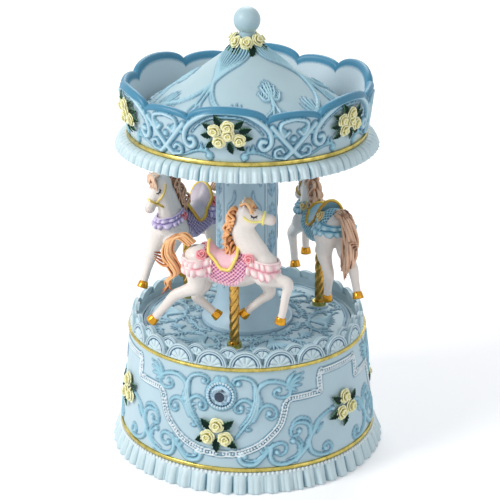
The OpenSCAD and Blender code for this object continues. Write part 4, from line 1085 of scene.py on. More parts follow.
@dataclass(frozen=True)
class Column:
    """The column with its panels of leaves.

    Attributes:
        radius: Radius of the shaft.
        foot: Height at which the skin starts.
        head: Height at which it ends.
        rows: Samples of its height.
        columns: Samples around it.
        thickness: Thickness of the skin.
    """

    radius: float = 11.45
    foot: float = 62.4
    head: float = 120.6
    rows: int = 176
    columns: int = 252
    thickness: float = 0.8

    def build(self) -> None:
        """Makes the column's skin."""
        art = Relief(24.0, 58.0, 120.8, self.columns // 3, 190)
        art.stroke([(3.3, 64), (3.3, 80), (3.3, 100), (3.3, 119)], 0.5, 0.35, Swell.EVEN, pearl=0.6)
        for k in range(5):
            y = 66 + 11 * k
            art.leaf((0, y + 1), (0, y + 9), 1.3, 0.6)
            art.fronds([(0, y), (0, y + 8)], 3, 3.2, 0.9, 0.6, 40)
        for y in (108, 97, 84):
            art.leaf((8.6, y + 6), (6.8, y), 1.0, 0.35, 0.1)
            art.leaf((7.6, y + 2), (5.6, y - 3), 0.9, 0.3, -0.1)
        z = np.linspace(self.foot, self.head, self.rows)[:, None]
        span = np.broadcast_to(z, (self.rows, self.columns))
        lift, wash, pearl = (art.around(values, 3, 66, span) for values in (art.lift, art.wash(), art.pearl))
        lift = lift * held(np.minimum(z - 63, 120.2 - z) / 1.2)
        form = Form("column_relief")
        revolved(form, z * 0 + self.radius, z, lift, tones(lift, wash, pearl), self.thickness)
        form.finish("carousel", "blue_resin", COLUMN_RESIN)


@dataclass(frozen=True)
class Crown:
    """The crown's scalloped wall with its arches, volutes and blue rim.

    Attributes:
        foot: Height of its foot.
        valley: Height of its edge between two scallops, without the rounding.
        rounding: Height of the rounded edge.
        wall: Thickness of the wall.
        arches: Height of the relief's field.
        repeat: Length of a sixth of the wall.
        columns: Samples around it.
        rows: Samples of its height.
    """

    foot: float = 124.7
    valley: float = 138.7
    rounding: float = 1.5
    wall: float = 2.2
    arches: float = 146.6
    repeat: float = 46.6
    columns: int = 840
    rows: int = 62

    @staticmethod
    def scallop(azimuth: np.ndarray) -> np.ndarray:
        """Height of the crown's edge above its valleys."""
        off = (azimuth - ROTOR + 30) % 60 - 30
        wide = 4.8 * np.sqrt(held(1 - (off / 17.8) ** 2))
        narrow = 2.4 * np.sqrt(held(1 - ((30 - np.abs(off)) / 12.2) ** 2))
        return np.where(np.abs(off) < 17.8, wide, narrow)

    def relief(self) -> Relief:
        """Draws one sixth of the wall."""
        art = Relief(self.repeat, self.foot, self.arches, self.columns // 6, 66)
        arch = [(0, 143.2), (6, 142.4), (11, 139.5), (14.3, 136.2), (15.3, 132.8), (14.7, 130.3), (12.8, 129.3),
                (11.4, 130.8), (12, 132.4), (13.3, 132.2)]
        art.stroke(arch, 2.0, 1.3, Swell.EVEN)
        art.stroke([(0, 141.2), (5.4, 140.4), (9.8, 137.8), (12.4, 134.8)], 0.9, 0.6)
        art.stroke([(5.9, 125.6), (5.6, 127), (8, 128.4), (11.5, 128), (15, 126.4), (17.5, 125.6)], 1.3, 0.8)
        art.knob((6.4, 126.6), 1.1, 1.0)
        for points, width in (([(-7.8, 137.4), (-4, 132.8), (0.2, 128), (3, 125.4)], 2.0),
                              ([(-1.9, 135.2), (-3.5, 134), (-5, 136.5), (-4.2, 138.8), (0, 139.9)], 1.5),
                              ([(-3.4, 128), (-4.6, 129.4), (-6.5, 128.6), (-6.2, 126.4), (-3.6, 125.8)], 1.3)):
            art.stroke([(self.repeat / 2 + x, y) for x, y in points], width, 1.2, Swell.EVEN)
        art.knob((self.repeat / 2, 132.6), 1.2, 1.0, 0.3)
        for root, angle, count in (((15.4, 134), 60, 3), ((12.5, 138.2), 80, 2), ((19, 134.2), 100, 3),
                                   ((8, 128.2), 70, 3)):
            art.tuft(root, angle, 70, count, 3.0, 1.2, 0.7)
        return art

    def build(self) -> None:
        """Makes the wall from its foot over the rounded edge and down its inside."""
        art = self.relief()
        azimuth = np.arange(self.columns)[None, :] * 360.0 / self.columns
        top = self.valley + self.scallop(azimuth)
        z = self.foot + np.linspace(0, 1, self.rows)[:, None] * (top - self.foot)
        lift, wash = (art.around(values, 6, ROTOR, z) for values in (art.lift, art.wash()))
        lift = lift * held((z - self.foot) / 0.6) * held((top - z) / 1.2)
        rim = held(1 - (top - z) / 1.2)
        bend = np.linspace(0, pi, 9)[1:, None]
        inner_z = top - np.linspace(0.05, 1, 8)[:, None] * (top - self.foot - 0.2)
        # Bands of radius, height, lift, darker tone, blue rim and lightening; the inside band's lightening is painted
        # light on a wall in shade.
        bands = [(CROWN.radius(z) + lift + 0.5 * rim, z, lift, wash, held(1.5 - (top - z) / 0.8), 0.0),
                 (CROWN.radius(top) - 0.85 + 1.35 * np.cos(bend), top + self.rounding * np.sin(bend),
                  0.3, 0.0, 1.0, 0.0),
                 (CROWN.radius(inner_z) - self.wall, inner_z, 0.0, 0.1, held(1.6 - (top - inner_z) / 0.9), 0.62)]
        radius, height, *shades = (np.concatenate([np.broadcast_to(band[k], band[0].shape) for band in bands])
                                   for k in range(6))
        form = Form("crown_relief")
        form.grid(polar(np.broadcast_to(azimuth, radius.shape), radius, height),
                  dict(zip(("lift", "wash", "rim", "pearl"), shades)), around=True, along=True)
        form.finish("carousel", "crown_resin", CROWN_RESIN, ["crown"])


@dataclass(frozen=True)
class Roof:
    """The draped tent roof and the ball on its top.

    Attributes:
        tip_r: Radius at which the drapery starts.
        eaves_r: Radius of the relief's field.
        columns: Samples around it.
        thickness: Thickness of the skin.
        ball_r: Radius of the ball.
        ball_z: Height of its middle.
        neck_z: Height of its neck's middle.
    """

    tip_r: float = 4.0
    eaves_r: float = 41.2
    columns: int = 720
    thickness: float = 1.6
    ball_r: float = 4.9
    ball_z: float = 164.4
    neck_z: float = 158.9

    def relief(self) -> Relief:
        """Draws one third of the gathered drapes, ribbons and palmettes."""
        art = Relief(120.0, self.tip_r, self.eaves_r, self.columns // 3, 140, lambda y: y * pi / 180)
        knot = (0, 18.2)
        for k in range(-5, 6):
            spread = 52 * k / 5
            art.stroke([(spread, 5), (spread * 0.8, 8), (spread * 0.34, 12.5), (spread * 0.13, 15.5),
                        (0.3 * k, knot[1])], 0.75, 0.7, Swell.EVEN)
        art.knob(knot, 1.1, 0.8)
        for shift in (-1.3, 1.3):
            art.stroke([knot, (8 + shift, 24), (19 + shift, 28.5), (36 + shift, 33), (46 + shift, 35.6),
                        (57, 36.4)], 0.85, 0.8, Swell.EVEN)
        for start, end in ((-2.6, 2.6), (2.6, -1.0)):
            art.stroke([(start, 14.5), knot, (end, 22), (end - 1, 26), (end + 1.5, 30), (end, 34.5)], 0.8, 0.7,
                       Swell.EVEN)
        for (x, y), large in (((60, 24.5), True), ((31, 33.0), False), ((89, 33.0), False)):
            for k in range(-3, 4):
                tip = (x + 3.6 * k, y - 7.4 + 0.5 * k * k)
                art.leaf((x, y), tip, 0.9, 0.8, 0.05 * k)
                if large:
                    art.fronds([(x, y), tip], 5, 1.5, 0.5, 0.7, 40)
        art.stroke([(60, 23.5), (60.4, 26.3), (57, 28.6), (52, 30.6), (46, 35)], 1.0, 0.8)
        art.stroke([(60, 23.5), (61, 27), (64, 31), (72, 33.5), (80, 37)], 1.0, 0.8)
        return art

    def build(self) -> None:
        """Makes the roof and the ball."""
        art = self.relief()
        path = flow([(41.3, 129.5), (35.4, 133.2), (27.5, 138.9), (18.9, 144.9), (14, 148.6), (11.5, 150.4),
                     (7.2, 153.6), (4.2, 156.6), (3, 158.4)], 0.43)
        radius, z = path[:, :1], path[:, 1:]
        at = np.broadcast_to(radius, (len(path), self.columns))
        lift, wash = (art.around(values, 3, -27, at) for values in (art.lift, art.wash()))
        lift = lift * held((radius - self.tip_r) / 2) * held((41 - radius) / 1)
        # Painted shade: darker towards the eaves, where the roof meets the inside of the crown.
        wash = wash * 0.8 + held((radius - 37.5) / 4) * 0.5
        form = Form("roof_drapery")
        revolved(form, radius, z, lift, tones(lift, wash), self.thickness)
        form.finish("carousel", "blue_resin", ROOF_RESIN, ["tent_roof"])
        ball = Form("ball_finial")
        part = bmesh.new()
        bmesh.ops.create_uvsphere(part, u_segments=40, v_segments=24, radius=self.ball_r,
                                  matrix=Matrix.Translation((0, 0, self.ball_z)))
        ball.keep(part, False, tones(0.1, pearl=0.2))
        ball.rod(3.4, 2.7, 3.0, Matrix.Translation((0, 0, self.neck_z)), 32, tones(0.1, 0.2, 0.2))
        ball.finish("carousel", "crown_resin", ROOF_RESIN, ["finial_ball"])


# Flowers and crystals


@dataclass(frozen=True)
class Flowers:
    """Painted roses with dark leaves.

    Attributes:
        drum: Radius of a rose on the drum.
        crown: Radius of one on the crown.
        finial: Radius of one under the ball.
        length: Length of a leaf.
        width: Width of a leaf.
    """

    drum: float = 2.95
    crown: float = 2.5
    finial: float = 2.6
    length: float = 4.9
    width: float = 3.0

    @staticmethod
    def rose(radius: float) -> Form:
        """One open rose of overlapping petals, which looks along +Z."""
        form = Form("rose")
        u, v = np.linspace(-1, 1, 10)[None, :], np.linspace(0, 1, 6)[:, None]
        outline = np.sqrt(held(1 - (0.9 * u) ** 2))
        rise = v * (0.4 + 0.6 * outline)
        for count, reach, height, spread, start in ((5, 1.0, 0.46, 0.3, 0), (4, 0.74, 0.68, 0.16, 40),
                                                    (3, 0.48, 0.84, 0.06, 15)):
            for k in range(count):
                a = np.radians(360 / count * k + start + 225 / count * u)
                out = radius * (reach * (0.3 + 0.7 * rise ** 0.8) + 0.07 * u)
                z = radius * (0.1 + height * rise - spread * rise ** 4)
                # Painted shade: each petal is darker towards its foot, deep in the rose.
                lift = 0.1 + 0.9 * rise ** 1.5 + 0.0 * u
                form.grid(np.stack([out * np.sin(a), out * np.cos(a), z], -1), {"lift": lift},
                          thickness=0.13 * radius)
        # The middle bud is mid-dark and the flat heart under the petals darkest: painted shade in the rose's depth.
        form.ball((0, 0, radius * 0.5), (radius * 0.26, radius * 0.26, radius * 0.34), 1, {"lift": 0.45})
        form.ball((0, 0, radius * 0.12), (radius * 0.8, radius * 0.8, radius * 0.3), 1, {"lift": 0.05})
        return form

    def leaf(self) -> Form:
        """One folded leaf with pale veins and edges, which points along +Y."""
        length = self.length
        v = np.linspace(0, 1, 17)[:, None]
        u = np.linspace(-1, 1, 11)[None, :]
        half = self.width / 2 * np.sin(pi * np.clip(v, 0.001, 0.999) ** 0.8) ** 0.8 * (1 + 0.13 * np.sin(30 * v))
        x = u * half
        y = v * length - 0.12 * length * np.abs(u) * (1 - v)
        z = (0.3 * np.abs(u) * half + 0.22 * length * v * (1 - v) * 1.4
             + 0.1 * np.cos(v * 40 - 6 * np.abs(u)) * np.abs(u))
        vein = np.maximum(np.exp(-(u / 0.1) ** 2) * 0.7, 0.55 * held(np.cos(v * 34 - 7 * np.abs(u))) ** 4)
        edge = held((np.abs(u) - 0.78) / 0.2)
        lift = held(0.22 + 0.4 * vein + 0.62 * edge)
        form = Form("leaf")
        form.grid(np.stack([x, y + 0 * x, z + 0 * x], -1), {"lift": lift + 0 * x}, thickness=0.4)
        return form

    def cluster(self, name: str, body: str, roses: Sequence[Matrix], leaves: Sequence[Matrix],
                radius: float) -> None:
        """Makes the roses and the leaves of one place, which the last word of the name says."""
        place = name.split("_")[-1]
        form = Form(name)
        form.copies(self.rose(radius), roses)
        form.finish(body, "rose_resin", ROSE_PAINT, [place + "_roses"])
        green = Form(name + "_leaves")
        green.copies(self.leaf(), leaves)
        green.finish(body, "leaf_resin", LEAF_PAINT, [place + "_leaves"])

    def build(self) -> None:
        """Makes every cluster."""
        roses, leaves = [], []
        for k in range(3):
            for x, z in ((-1.2, 25.5), (-4.5, 20.7), (2, 20.5), (50.1, 29.7), (47.8, 23.9), (53.5, 24.7)):
                roses.append(DRUM.place(120 * k + x / RUN, z, 0.4, 31 * x))
            for cx, cz, tips in ((-1.2, 22.4, ((-5.3, 25.8), (3.2, 26.2), (-7.6, 19.4), (-1.1, 17.8), (5.2, 18.0))),
                                 (50.4, 26.2, ((45.3, 29.9), (55.0, 28.7), (43.0, 23.6), (49.3, 20.4)))):
                for x, z in tips:
                    spin = degrees(atan2(-(x - cx), z - cz))
                    azimuth = 120 * k + (0.55 * x + 0.45 * cx) / RUN
                    leaves.append(DRUM.place(azimuth, 0.55 * z + 0.45 * cz, 0.55, spin))
        self.cluster("roses_on_drum", "root", roses, leaves, self.drum)
        roses, leaves = [], []
        for k in range(6):
            for x, z in ((-3.9, 136.6), (0.6, 138.2), (-2.4, 132.6), (4.4, 133.4), (0.7, 135.2)):
                roses.append(CROWN.place(ROTOR + 60 * k + x / CROWN_RUN, z, 0.7, 40 * x))
            for x, z in ((-3.2, 140.8), (4.8, 139.4), (7.6, 137.2), (-7.2, 138.4), (-7.8, 134.6), (-6.4, 130.6),
                         (1.6, 129.8), (5.4, 130.2), (8.2, 134.0)):
                spin = degrees(atan2(-x, z - 135.2))
                leaves.append(CROWN.place(ROTOR + 60 * k + 0.62 * x / CROWN_RUN, 0.62 * z + 51.4, 0.6, spin, 0.82))
        self.cluster("roses_on_crown", "carousel", roses, leaves, self.crown)
        roses, leaves = [], []
        for k in range(7):
            a = radians(360 / 7 * k + 10)
            normal = (sin(a) * 0.85, -cos(a) * 0.85, 0.55)
            roses.append(seat((4.4 * sin(a), -4.4 * cos(a), 156.6 + 0.7 * (k % 2)), normal, 50 * k))
            b = a + 0.42
            normal = (sin(b) * 0.75, -cos(b) * 0.75, 0.66)
            leaves.append(seat((4.9 * sin(b), -4.9 * cos(b), 155.4), normal, 180 + 20 * (k % 3 - 1)))
        self.cluster("roses_at_finial", "carousel", roses, leaves, self.finial)


@dataclass(frozen=True)
class Crystals:
    """Faceted stones in rings of beads.

    Attributes:
        z: Height of their middles on the drum.
        facets: Facets around a stone.
        tiers: Lower and upper radius, foot, height, turn in degrees and lightness of each tier of facets; the
            lightness is painted reflection, darkest in the middle.
        beads: Beads in a ring.
        bead_r: Radius of a bead.
        ring_r: Radius of a ring.
    """

    z: float = 36.9
    facets: int = 12
    tiers: Points = ((4.15, 3.1, 0.5, 1.3, 0, 0.9), (3.1, 1.9, 1.8, 0.5, 15, 0.55),
                              (1.9, 1.5, 2.3, 0.12, 0, 0.0))
    beads: int = 28
    bead_r: float = 0.55
    ring_r: float = 4.75

    def build(self) -> None:
        """Makes the stones and their settings."""
        cut = Form("stone")
        for low, high, base, rise, turn, lift in self.tiers:
            cut.rod(low, high, rise, Matrix.Translation((0, 0, base + rise / 2))
                    @ Matrix.Rotation(radians(turn), 4, "Z"), self.facets, {"lift": lift})
        form = Form("cut_crystals")
        form.copies(cut, [DRUM.place(120 * k, self.z, 0.3) for k in range(3)])
        form.finish("root", "crystal", CRYSTAL, ["crystals"], 5.0)
        bead = Form("bead")
        bead.ball((0, 0, 0), (self.bead_r,) * 3, 2, tones(1.0, pearl=0.4))
        ring = Form("bead_rings")
        turns = np.arange(self.beads) * 2 * pi / self.beads
        ring.copies(bead, [DRUM.place(120 * k, self.z, 0.9)
                           @ Matrix.Translation((self.ring_r * cos(a), self.ring_r * sin(a), 0))
                           for k in range(3) for a in turns])
        ring.finish("root", "setting_resin", PLAIN_RESIN, ["crystal_settings"])


# Horses


@dataclass(frozen=True)
class Tack:
    """The colours of a horse's hair and trappings."""

    hair: Paint
    saddle: Paint
    blanket: Paint
    frill: Paint
    strap: Any
    rose: Paint


@dataclass(frozen=True)
class Pose:
    """How a horse stands, in millimetres: +X is forward, -Y away from the column, heights above its pad.

    Attributes:
        name: Its CAD node.
        number: Which of the three places it has.
        trunk: Points (x, y, z, radius) from chest to rump.
        neck: Points from the shoulder over the poll to the nose.
        legs: Four legs, each from its root to its hoof.
        tail: Points from its root to its tip.
        tack: Its colours.
        blanket_back: How far its blanket reaches behind the saddle.
        mane: Length of its mane, where 1 is about 6 mm.
        cantle: How high the back of its saddle stands.
        breast: Heights of its breast frill's hem and top over the middle of the breast.
        rump: The same for its rump frill.
    """

    name: str
    number: int
    trunk: Points
    neck: Points
    legs: Sequence[Points]
    tail: Points
    tack: Tack
    blanket_back: float
    mane: float
    cantle: float
    breast: Point
    rump: Point


def station(number: int) -> Matrix:
    """Foot of one of the three poles, turned so that +X is the way the horse gallops."""
    a = radians(ROTOR + 120 * number)
    return Matrix.Translation((ORBIT * sin(a), -ORBIT * cos(a), PAD_Z)) @ Matrix.Rotation(a, 4, "Z")


class Hide:
    """The skin of a horse, on which its tack is laid."""

    def __init__(self, mesh: bpy.types.Mesh, trunk: Points) -> None:
        """Reads a horse's mesh, in millimetres."""
        part = bmesh.new()
        part.from_mesh(mesh)
        self.tree = BVHTree.FromBMesh(part)
        part.free()
        spine = sorted((p[0], p[2]) for p in trunk)
        self.spine_x = [p[0] for p in spine]
        self.spine_z = [p[1] for p in spine]

    def cast(self, origin: Point, direction: Point, proud: float, reach: float) -> np.ndarray:
        """Point over the skin that a ray from inside the horse meets, at most reach away."""
        ray = Vector(direction).normalized()
        hit = self.tree.ray_cast(Vector(origin), ray, reach)
        length = hit[3] if hit[0] is not None else reach
        return np.array(Vector(origin) + ray * (length + proud))

    def over(self, x: float, turn: float, proud: float) -> np.ndarray:
        """Point over the trunk at x; turn is 0 on the back and 90 on the side away from the column."""
        a = radians(turn)
        z = float(np.interp(x, self.spine_x, self.spine_z))
        return self.cast((x, 0, z), (0, -sin(a), cos(a)), proud, 6.9)

    def seat(self, x: float, side: int, z: float, proud: float) -> Matrix:
        """Seat of a small piece on the flank; side is -1 away from the column."""
        point = Vector(self.cast((x, 0, z), (0, side, 0), 0, 8))
        near = self.tree.find_nearest(point)
        normal = near[1] if near[1] is not None else Vector((0, side, 0))
        return seat(point + normal * proud, normal)


class Horse:
    """One galloping horse with its hair and its trappings."""

    def __init__(self, pose: Pose) -> None:
        """Prepares the horse of a pose."""
        self.pose = pose
        self.place = station(pose.number)
        self.poll = np.array(pose.neck[2][:3], float)
        self.nose = np.array(pose.neck[3][:3], float)
        self.ahead = (self.nose - self.poll) / np.linalg.norm(self.nose - self.poll)
        side = np.cross(self.ahead, (0, 0, 1.0))
        self.side = side / np.linalg.norm(side)
        self.above = np.cross(self.side, self.ahead)

    def head(self, forward: float, sideways: float, up: float) -> np.ndarray:
        """Point of the head, from the poll: towards the nose, to its side, and up."""
        return self.poll + self.ahead * forward + self.side * sideways + self.above * up

    def _limb(self, form: Form, points: Points, flat: float = 1.0, thin: float = 0.86) -> None:
        """Adds flesh along a limb."""
        full = [points[0]]
        for a, b in zip(points[:-1], points[1:]):
            full.append([(p + q) / 2 for p, q in zip(a[:3], b[:3])] + [(a[3] + b[3]) / 2 * thin])
            full.append(b)
        for x, y, z, r in flow(full, 0.8):
            form.ball((x, y, z), (r, r * flat, r))

    def _body(self) -> bpy.types.Mesh:
        """Makes the horse's skin, in millimetres."""
        pose = self.pose
        form = Form("flesh")
        self._limb(form, pose.trunk, 0.88, 1.0)
        self._limb(form, pose.neck[:3], 0.66, 0.97)
        for leg in pose.legs:
            hoof = np.array(leg[-1][:3]) - np.array(leg[-2][:3])
            ankle = [*(np.array(leg[-1][:3]) - hoof / np.linalg.norm(hoof)), 1.6]
            self._limb(form, [*leg[:-1], ankle], 1.0, 0.9)
        basis = Matrix((self.ahead, self.side, self.above)).transposed().to_4x4()
        length = np.linalg.norm(self.nose - self.poll)
        flesh = [(0.4, 0, -0.3, 3.3, 2.3, 3.1), (1.6, 1.0, -1.4, 2.5, 1.4, 2.5), (1.6, -1.0, -1.4, 2.5, 1.4, 2.5),
                 (1.8, 0, 0.7, 2.6, 1.9, 1.9), (length * 0.5, 0, -0.1, 3.2, 1.65, 2.0),
                 (length * 0.75, 0, -0.25, 2.6, 1.5, 1.75), (length + 0.3, 0, -0.3, 2.0, 1.6, 1.7),
                 (length + 0.9, 0, -0.9, 1.3, 1.3, 1.1), (2.6, 1.55, 0.5, 0.8, 0.5, 0.55),
                 (2.6, -1.55, 0.5, 0.8, 0.5, 0.55)]
        big = 1.26
        for forward, sideways, up, *size in flesh:
            turn = Matrix.Translation(self.head(forward, sideways * big, up * big)) @ basis
            form.egg(turn @ Matrix.Diagonal((*(half * big for half in size), 1)))
        for side in (1, -1):
            ear = (Matrix.Translation(self.head(-1.3, 1.6 * side, 4.2)) @ basis
                   @ Matrix.Rotation(radians(-12), 4, "Y") @ Matrix.Rotation(radians(-8 * side), 4, "X"))
            form.egg(ear @ Matrix.Diagonal((0.65, 0.85, 2.1, 1)))
        obj = placed("flesh", form.mesh())
        remesh = obj.modifiers.new("skin", "REMESH")
        remesh.mode = "VOXEL"
        remesh.voxel_size = 0.42
        skin = bpy.data.meshes.new_from_object(obj.evaluated_get(bpy.context.evaluated_depsgraph_get()))
        bpy.data.objects.remove(obj)
        part = bmesh.new()
        part.from_mesh(skin)
        for _ in range(5):
            bmesh.ops.smooth_vert(part, verts=part.verts, factor=0.5, use_axis_x=True, use_axis_y=True,
                                  use_axis_z=True)
        part.to_mesh(skin)
        part.free()
        return skin

    def _blush_and_shade(self, points: np.ndarray) -> np.ndarray:
        """How light the paint is: warm pink at the muzzle, and painted shade that darkens it towards the bottom,
        under the belly and down the legs.
        """
        muzzle = np.exp(-(np.linalg.norm(points - self.nose - self.ahead * 2.2, axis=1) / 2.4) ** 2)
        # Painted shade: darker the lower a point lies.
        low = held((26 - points[:, 2]) / 30)
        return held(0.72 - 0.55 * muzzle - 0.18 * low)

    def _hair(self) -> Form:
        """Makes the mane, forelock and tail."""
        form = Form("hair")
        rng = random.Random(30 + self.pose.number)
        size = self.pose.mane
        neck = flow(self.pose.neck[:3], 0.8)[:, :3]
        crest = flow(self.pose.neck[:3], 1.45)[1:]
        for i, (x, y, z, r) in enumerate(crest):
            ahead = crest[min(i + 1, len(crest) - 1)][:3] - crest[max(i - 1, 0)][:3]
            ahead = ahead / np.linalg.norm(ahead)
            back = np.array((-ahead[2], 0, ahead[0]))
            back = back if back[0] < 0 else -back
            root = np.array((x, y, z)) + back * r * 0.84
            for side in (-1.3, -0.65, 0, 0.65, 1.3):
                out = np.array((0, side, 0))
                swing, reach = rng.uniform(-0.7, 0.7), size * rng.uniform(0.8, 1.2)
                line = ((-0.5, 0.3, 0.2), (1.1, 0.8, 0.9), (2.4 + swing, 1.4, -0.7), (1.2 - swing, 1.7, -2.3),
                        (2.5 + swing, 1.6, -3.8), (1.5, 1.5, -5.2), (3.2 + swing, 1.2, -6.2))
                points = [root + (back * b + (0, 0, fall)) * reach + out * sideways for b, sideways, fall in line]
                self._lock(form, points, [0.4, 0.55, 0.56, 0.52, 0.46, 0.36, 0.12], neck, 0.42)
        crown = np.array([self.head(0.6, 0, 2.0)])
        for k in range(8):
            sideways = (k - 3.5) * 0.74
            curl = rng.uniform(-0.6, 0.6)
            points = [self.head(-2.6, sideways * 0.6, 3.2), self.head(-0.4, sideways, 4.9),
                      self.head(1.3 + curl, sideways * 1.25 + curl, 4.5 - 0.35 * abs(sideways)),
                      self.head(2.2 - curl, sideways * 1.45 - curl, 3.5 - 0.5 * abs(sideways)),
                      self.head(3.2 + curl, sideways * 1.3 + curl, 3.3 - 0.6 * abs(sideways))]
            self._lock(form, points, [0.45, 0.6, 0.56, 0.46, 0.1], crown, 0.3)
        tail = flow(self.pose.tail, 0.8)
        # A darker core inside the tail, which shows between its locks as painted shade.
        form.tube(tail[:, :3], tail[:, 3] * 0.42, 8, 0.6, lambda centre, ring: np.full(ring.shape[:2], 0.3))
        hub = tail[:, :3]
        count = 13
        for k in range(count):
            points, radii = [], []
            for i, (x, y, z, r) in enumerate(tail):
                t = i / (len(tail) - 1)
                a = 2 * pi * k / count + 1.3 * t
                spread = 0.74 * r * (1 + 0.22 * sin(9 * t + 2.4 * k))
                points.append((x + spread * cos(a) * 0.9, y + spread * sin(a) * 0.8,
                               z + spread * cos(a) * 0.45))
                radii.append(max(0.26, r * rng.uniform(0.2, 0.26)))
            flick = (rng.uniform(-2.8, 1.6), rng.uniform(-0.8, 0.8), rng.uniform(-2.8, -0.8))
            points.append(tuple(p + q for p, q in zip(points[-1], flick)))
            self._lock(form, points[:-1:2] + points[-1:], radii[::2] + [0.1], hub)
        x, y, z, _ = tail[int(len(tail) * 0.56)]
        for k in range(4):
            rise = 1.0 * (k - 1.5)
            self._lock(form, [(x + 1, y - 1.2 + k, z + rise), (x - 1.8, y - 1.4 + k, z - 0.6 + rise),
                              (x - 3.8, y - 0.8 + 0.8 * k, z + 0.1 + rise), (x - 5.8, y, z + 1.2 + 0.8 * rise)],
                       [0.55, 0.55, 0.45, 0.1], hub)
        return form

    @staticmethod
    def _lock(form: Form, points: Points, radii: Sequence[float], hub: np.ndarray,
              pale: float = 0.04) -> None:
        """Adds one lock of hair with painted light and shade: pale on the side away from the hub and dark against its
        neighbours, where creases between locks fall in shade.

        Args:
            form: The hair.
            points: Points that the lock runs through.
            radii: Its radius at each.
            hub: Points of the line that the hair grows around.
            pale: How pale its painted shade leaves it on its sides.
        """
        def shade(centre: np.ndarray, ring: np.ndarray) -> np.ndarray:
            """Painted lightness of each side, from how far it looks away from the hub."""
            gaps = np.linalg.norm(centre[:, None] - hub[None], axis=2)
            facing = (ring * unit(centre - hub[gaps.argmin(axis=1)])[:, None]).sum(axis=2)
            return held(pale + (0.9 - pale) * facing)

        form.tube(points, radii, 8, 0.45, shade)

    def _saddle(self, hide: Hide) -> tuple[Form, Form]:
        """Makes the saddle and its gilt edge."""
        back = self.pose.trunk[2][0] - 1.3
        front = self.pose.trunk[1][0] + 0.6
        share, across = np.linspace(0, 1, 26), np.linspace(-1, 1, 41)
        reach = (34 + 41 * np.sin(pi * held(share * 1.08 - 0.05) ** 1.35) ** 0.8
                 + 2.6 * np.sin(6 * pi * share) * np.sin(pi * share))
        rows = []
        for u, limit in zip(share, reach):
            x = back + (front - back) * u
            row = []
            for v in across:
                turn = limit * v
                top = exp(-(turn / 38) ** 2)
                cantle = self.pose.cantle * exp(-((u - 0.04) / 0.14) ** 2)
                pommel = 1.7 * exp(-((u - 0.97) / 0.12) ** 2)
                point = hide.over(x, turn, 0.75 + top * (cantle + pommel + 0.25))
                point[0] -= 0.35 * cantle * top
                row.append(point)
            rows.append(row)
        points = np.array(rows)
        outer = Form("saddle")
        axis = np.stack([points[:, :, 0], 0 * points[:, :, 1],
                         np.interp(points[:, :, 0], hide.spine_x, hide.spine_z)], -1)
        inward = axis - points
        inward /= np.linalg.norm(inward, axis=2)[:, :, None]
        rim = np.minimum(np.minimum(share, 1 - share)[:, None], (1 - np.abs(across))[None, :] * 0.6)
        # Painted shade: the saddle is darker towards its edges, where it lies on the hide beside the piping.
        outer.grid(points, {"lift": np.clip(0.35 + 3.0 * rim, 0, 0.8)}, thickness=0.9)
        edge, edge_in = (np.concatenate([sheet[:, 0], sheet[-1, 1:], sheet[-2::-1, -1], sheet[0, -2:0:-1]])
                         for sheet in (points, inward))
        piping = Form("piping")
        piping.tube((edge - edge_in * 0.1)[::3], 0.62, 8, 0.5, closed=True)
        return outer, piping

    def _blanket(self, hide: Hide) -> Form:
        """Makes the crocheted blanket with its scalloped hem."""
        back = self.pose.trunk[2][0] - self.pose.blanket_back
        front = self.pose.trunk[1][0] + 4.2
        rows, lifts = [], []
        for u in np.linspace(0, 1, 72):
            x = back + (front - back) * u
            limit = 94 + 44 * sin(pi * u) ** 0.7 + 6 * abs(sin(7 * pi * u))
            row, lift = [], []
            for v in np.linspace(-1, 1, 151):
                turn = limit * v
                weave = (abs(sin(pi * (x * 0.62 + turn * 0.07)))
                         * abs(sin(pi * (x * 0.62 - turn * 0.07))))
                thread = 1 - min(1.0, 1.7 * weave)
                if abs(v) > 0.88:
                    thread = 0.35 + 0.65 * abs(cos(pi * x * 0.85))
                row.append(hide.over(x, turn, 0.32 + 0.42 * thread))
                lift.append(thread)
            rows.append(row)
            lifts.append(lift)
        form = Form("blanket")
        form.grid(np.array(rows), {"lift": held(np.array(lifts))}, thickness=0.5)
        return form

    @staticmethod
    def _frill(hide: Hide, origin: Point, forward: int, low: float, high: float, rise: float) -> Form:
        """Makes a gathered frill around the breast or the rump.

        Args:
            hide: The horse's skin.
            origin: Point inside that its rays come from, as (x, z).
            forward: 1 around the breast and -1 around the rump.
            low: Height of its hem in the middle.
            high: Height of its top.
            rise: How much higher it is at its ends.
        """
        end = 112
        rows, lifts = [], []
        for v in np.linspace(0, 1, 13):
            row, lift = [], []
            tier = min(int(v * 2), 1)
            swell = sin(pi * (0.1 + 0.9 * (1 - (v * 2 - tier)))) ** 0.7
            for turn in np.linspace(-end, end, 197):
                a = radians(turn)
                up = rise * (abs(turn) / end) ** 1.5
                puff = abs(sin(radians(turn * 9.6) + tier * 1.57 + 0.6 * sin(turn * 0.11)))
                z = low + (high - low) * v + up - (1 - v) ** 3 * 1.1 * puff
                point = hide.cast((origin[0], 0, min(max(z, origin[1] - 4), origin[1] + 4)),
                                  (forward * cos(a), -sin(a), 0),
                                  0.3 + swell * (0.35 + 0.85 * puff) * (1.15 - 0.25 * tier), 8.5)
                point[2] = z
                row.append(point)
                # Painted light and shade: the puffs are lighter and the folds between them darker.
                lift.append(0.05 + swell * (0.3 + 0.75 * puff) + 0.12 * sin(turn * 1.9))
            rows.append(row)
            lifts.append(lift)
        form = Form("frill")
        form.grid(np.array(rows), {"lift": held(np.array(lifts))}, thickness=0.4)
        form.tube(np.array(rows[-1])[::6], 0.42, 7, 0.5)
        return form

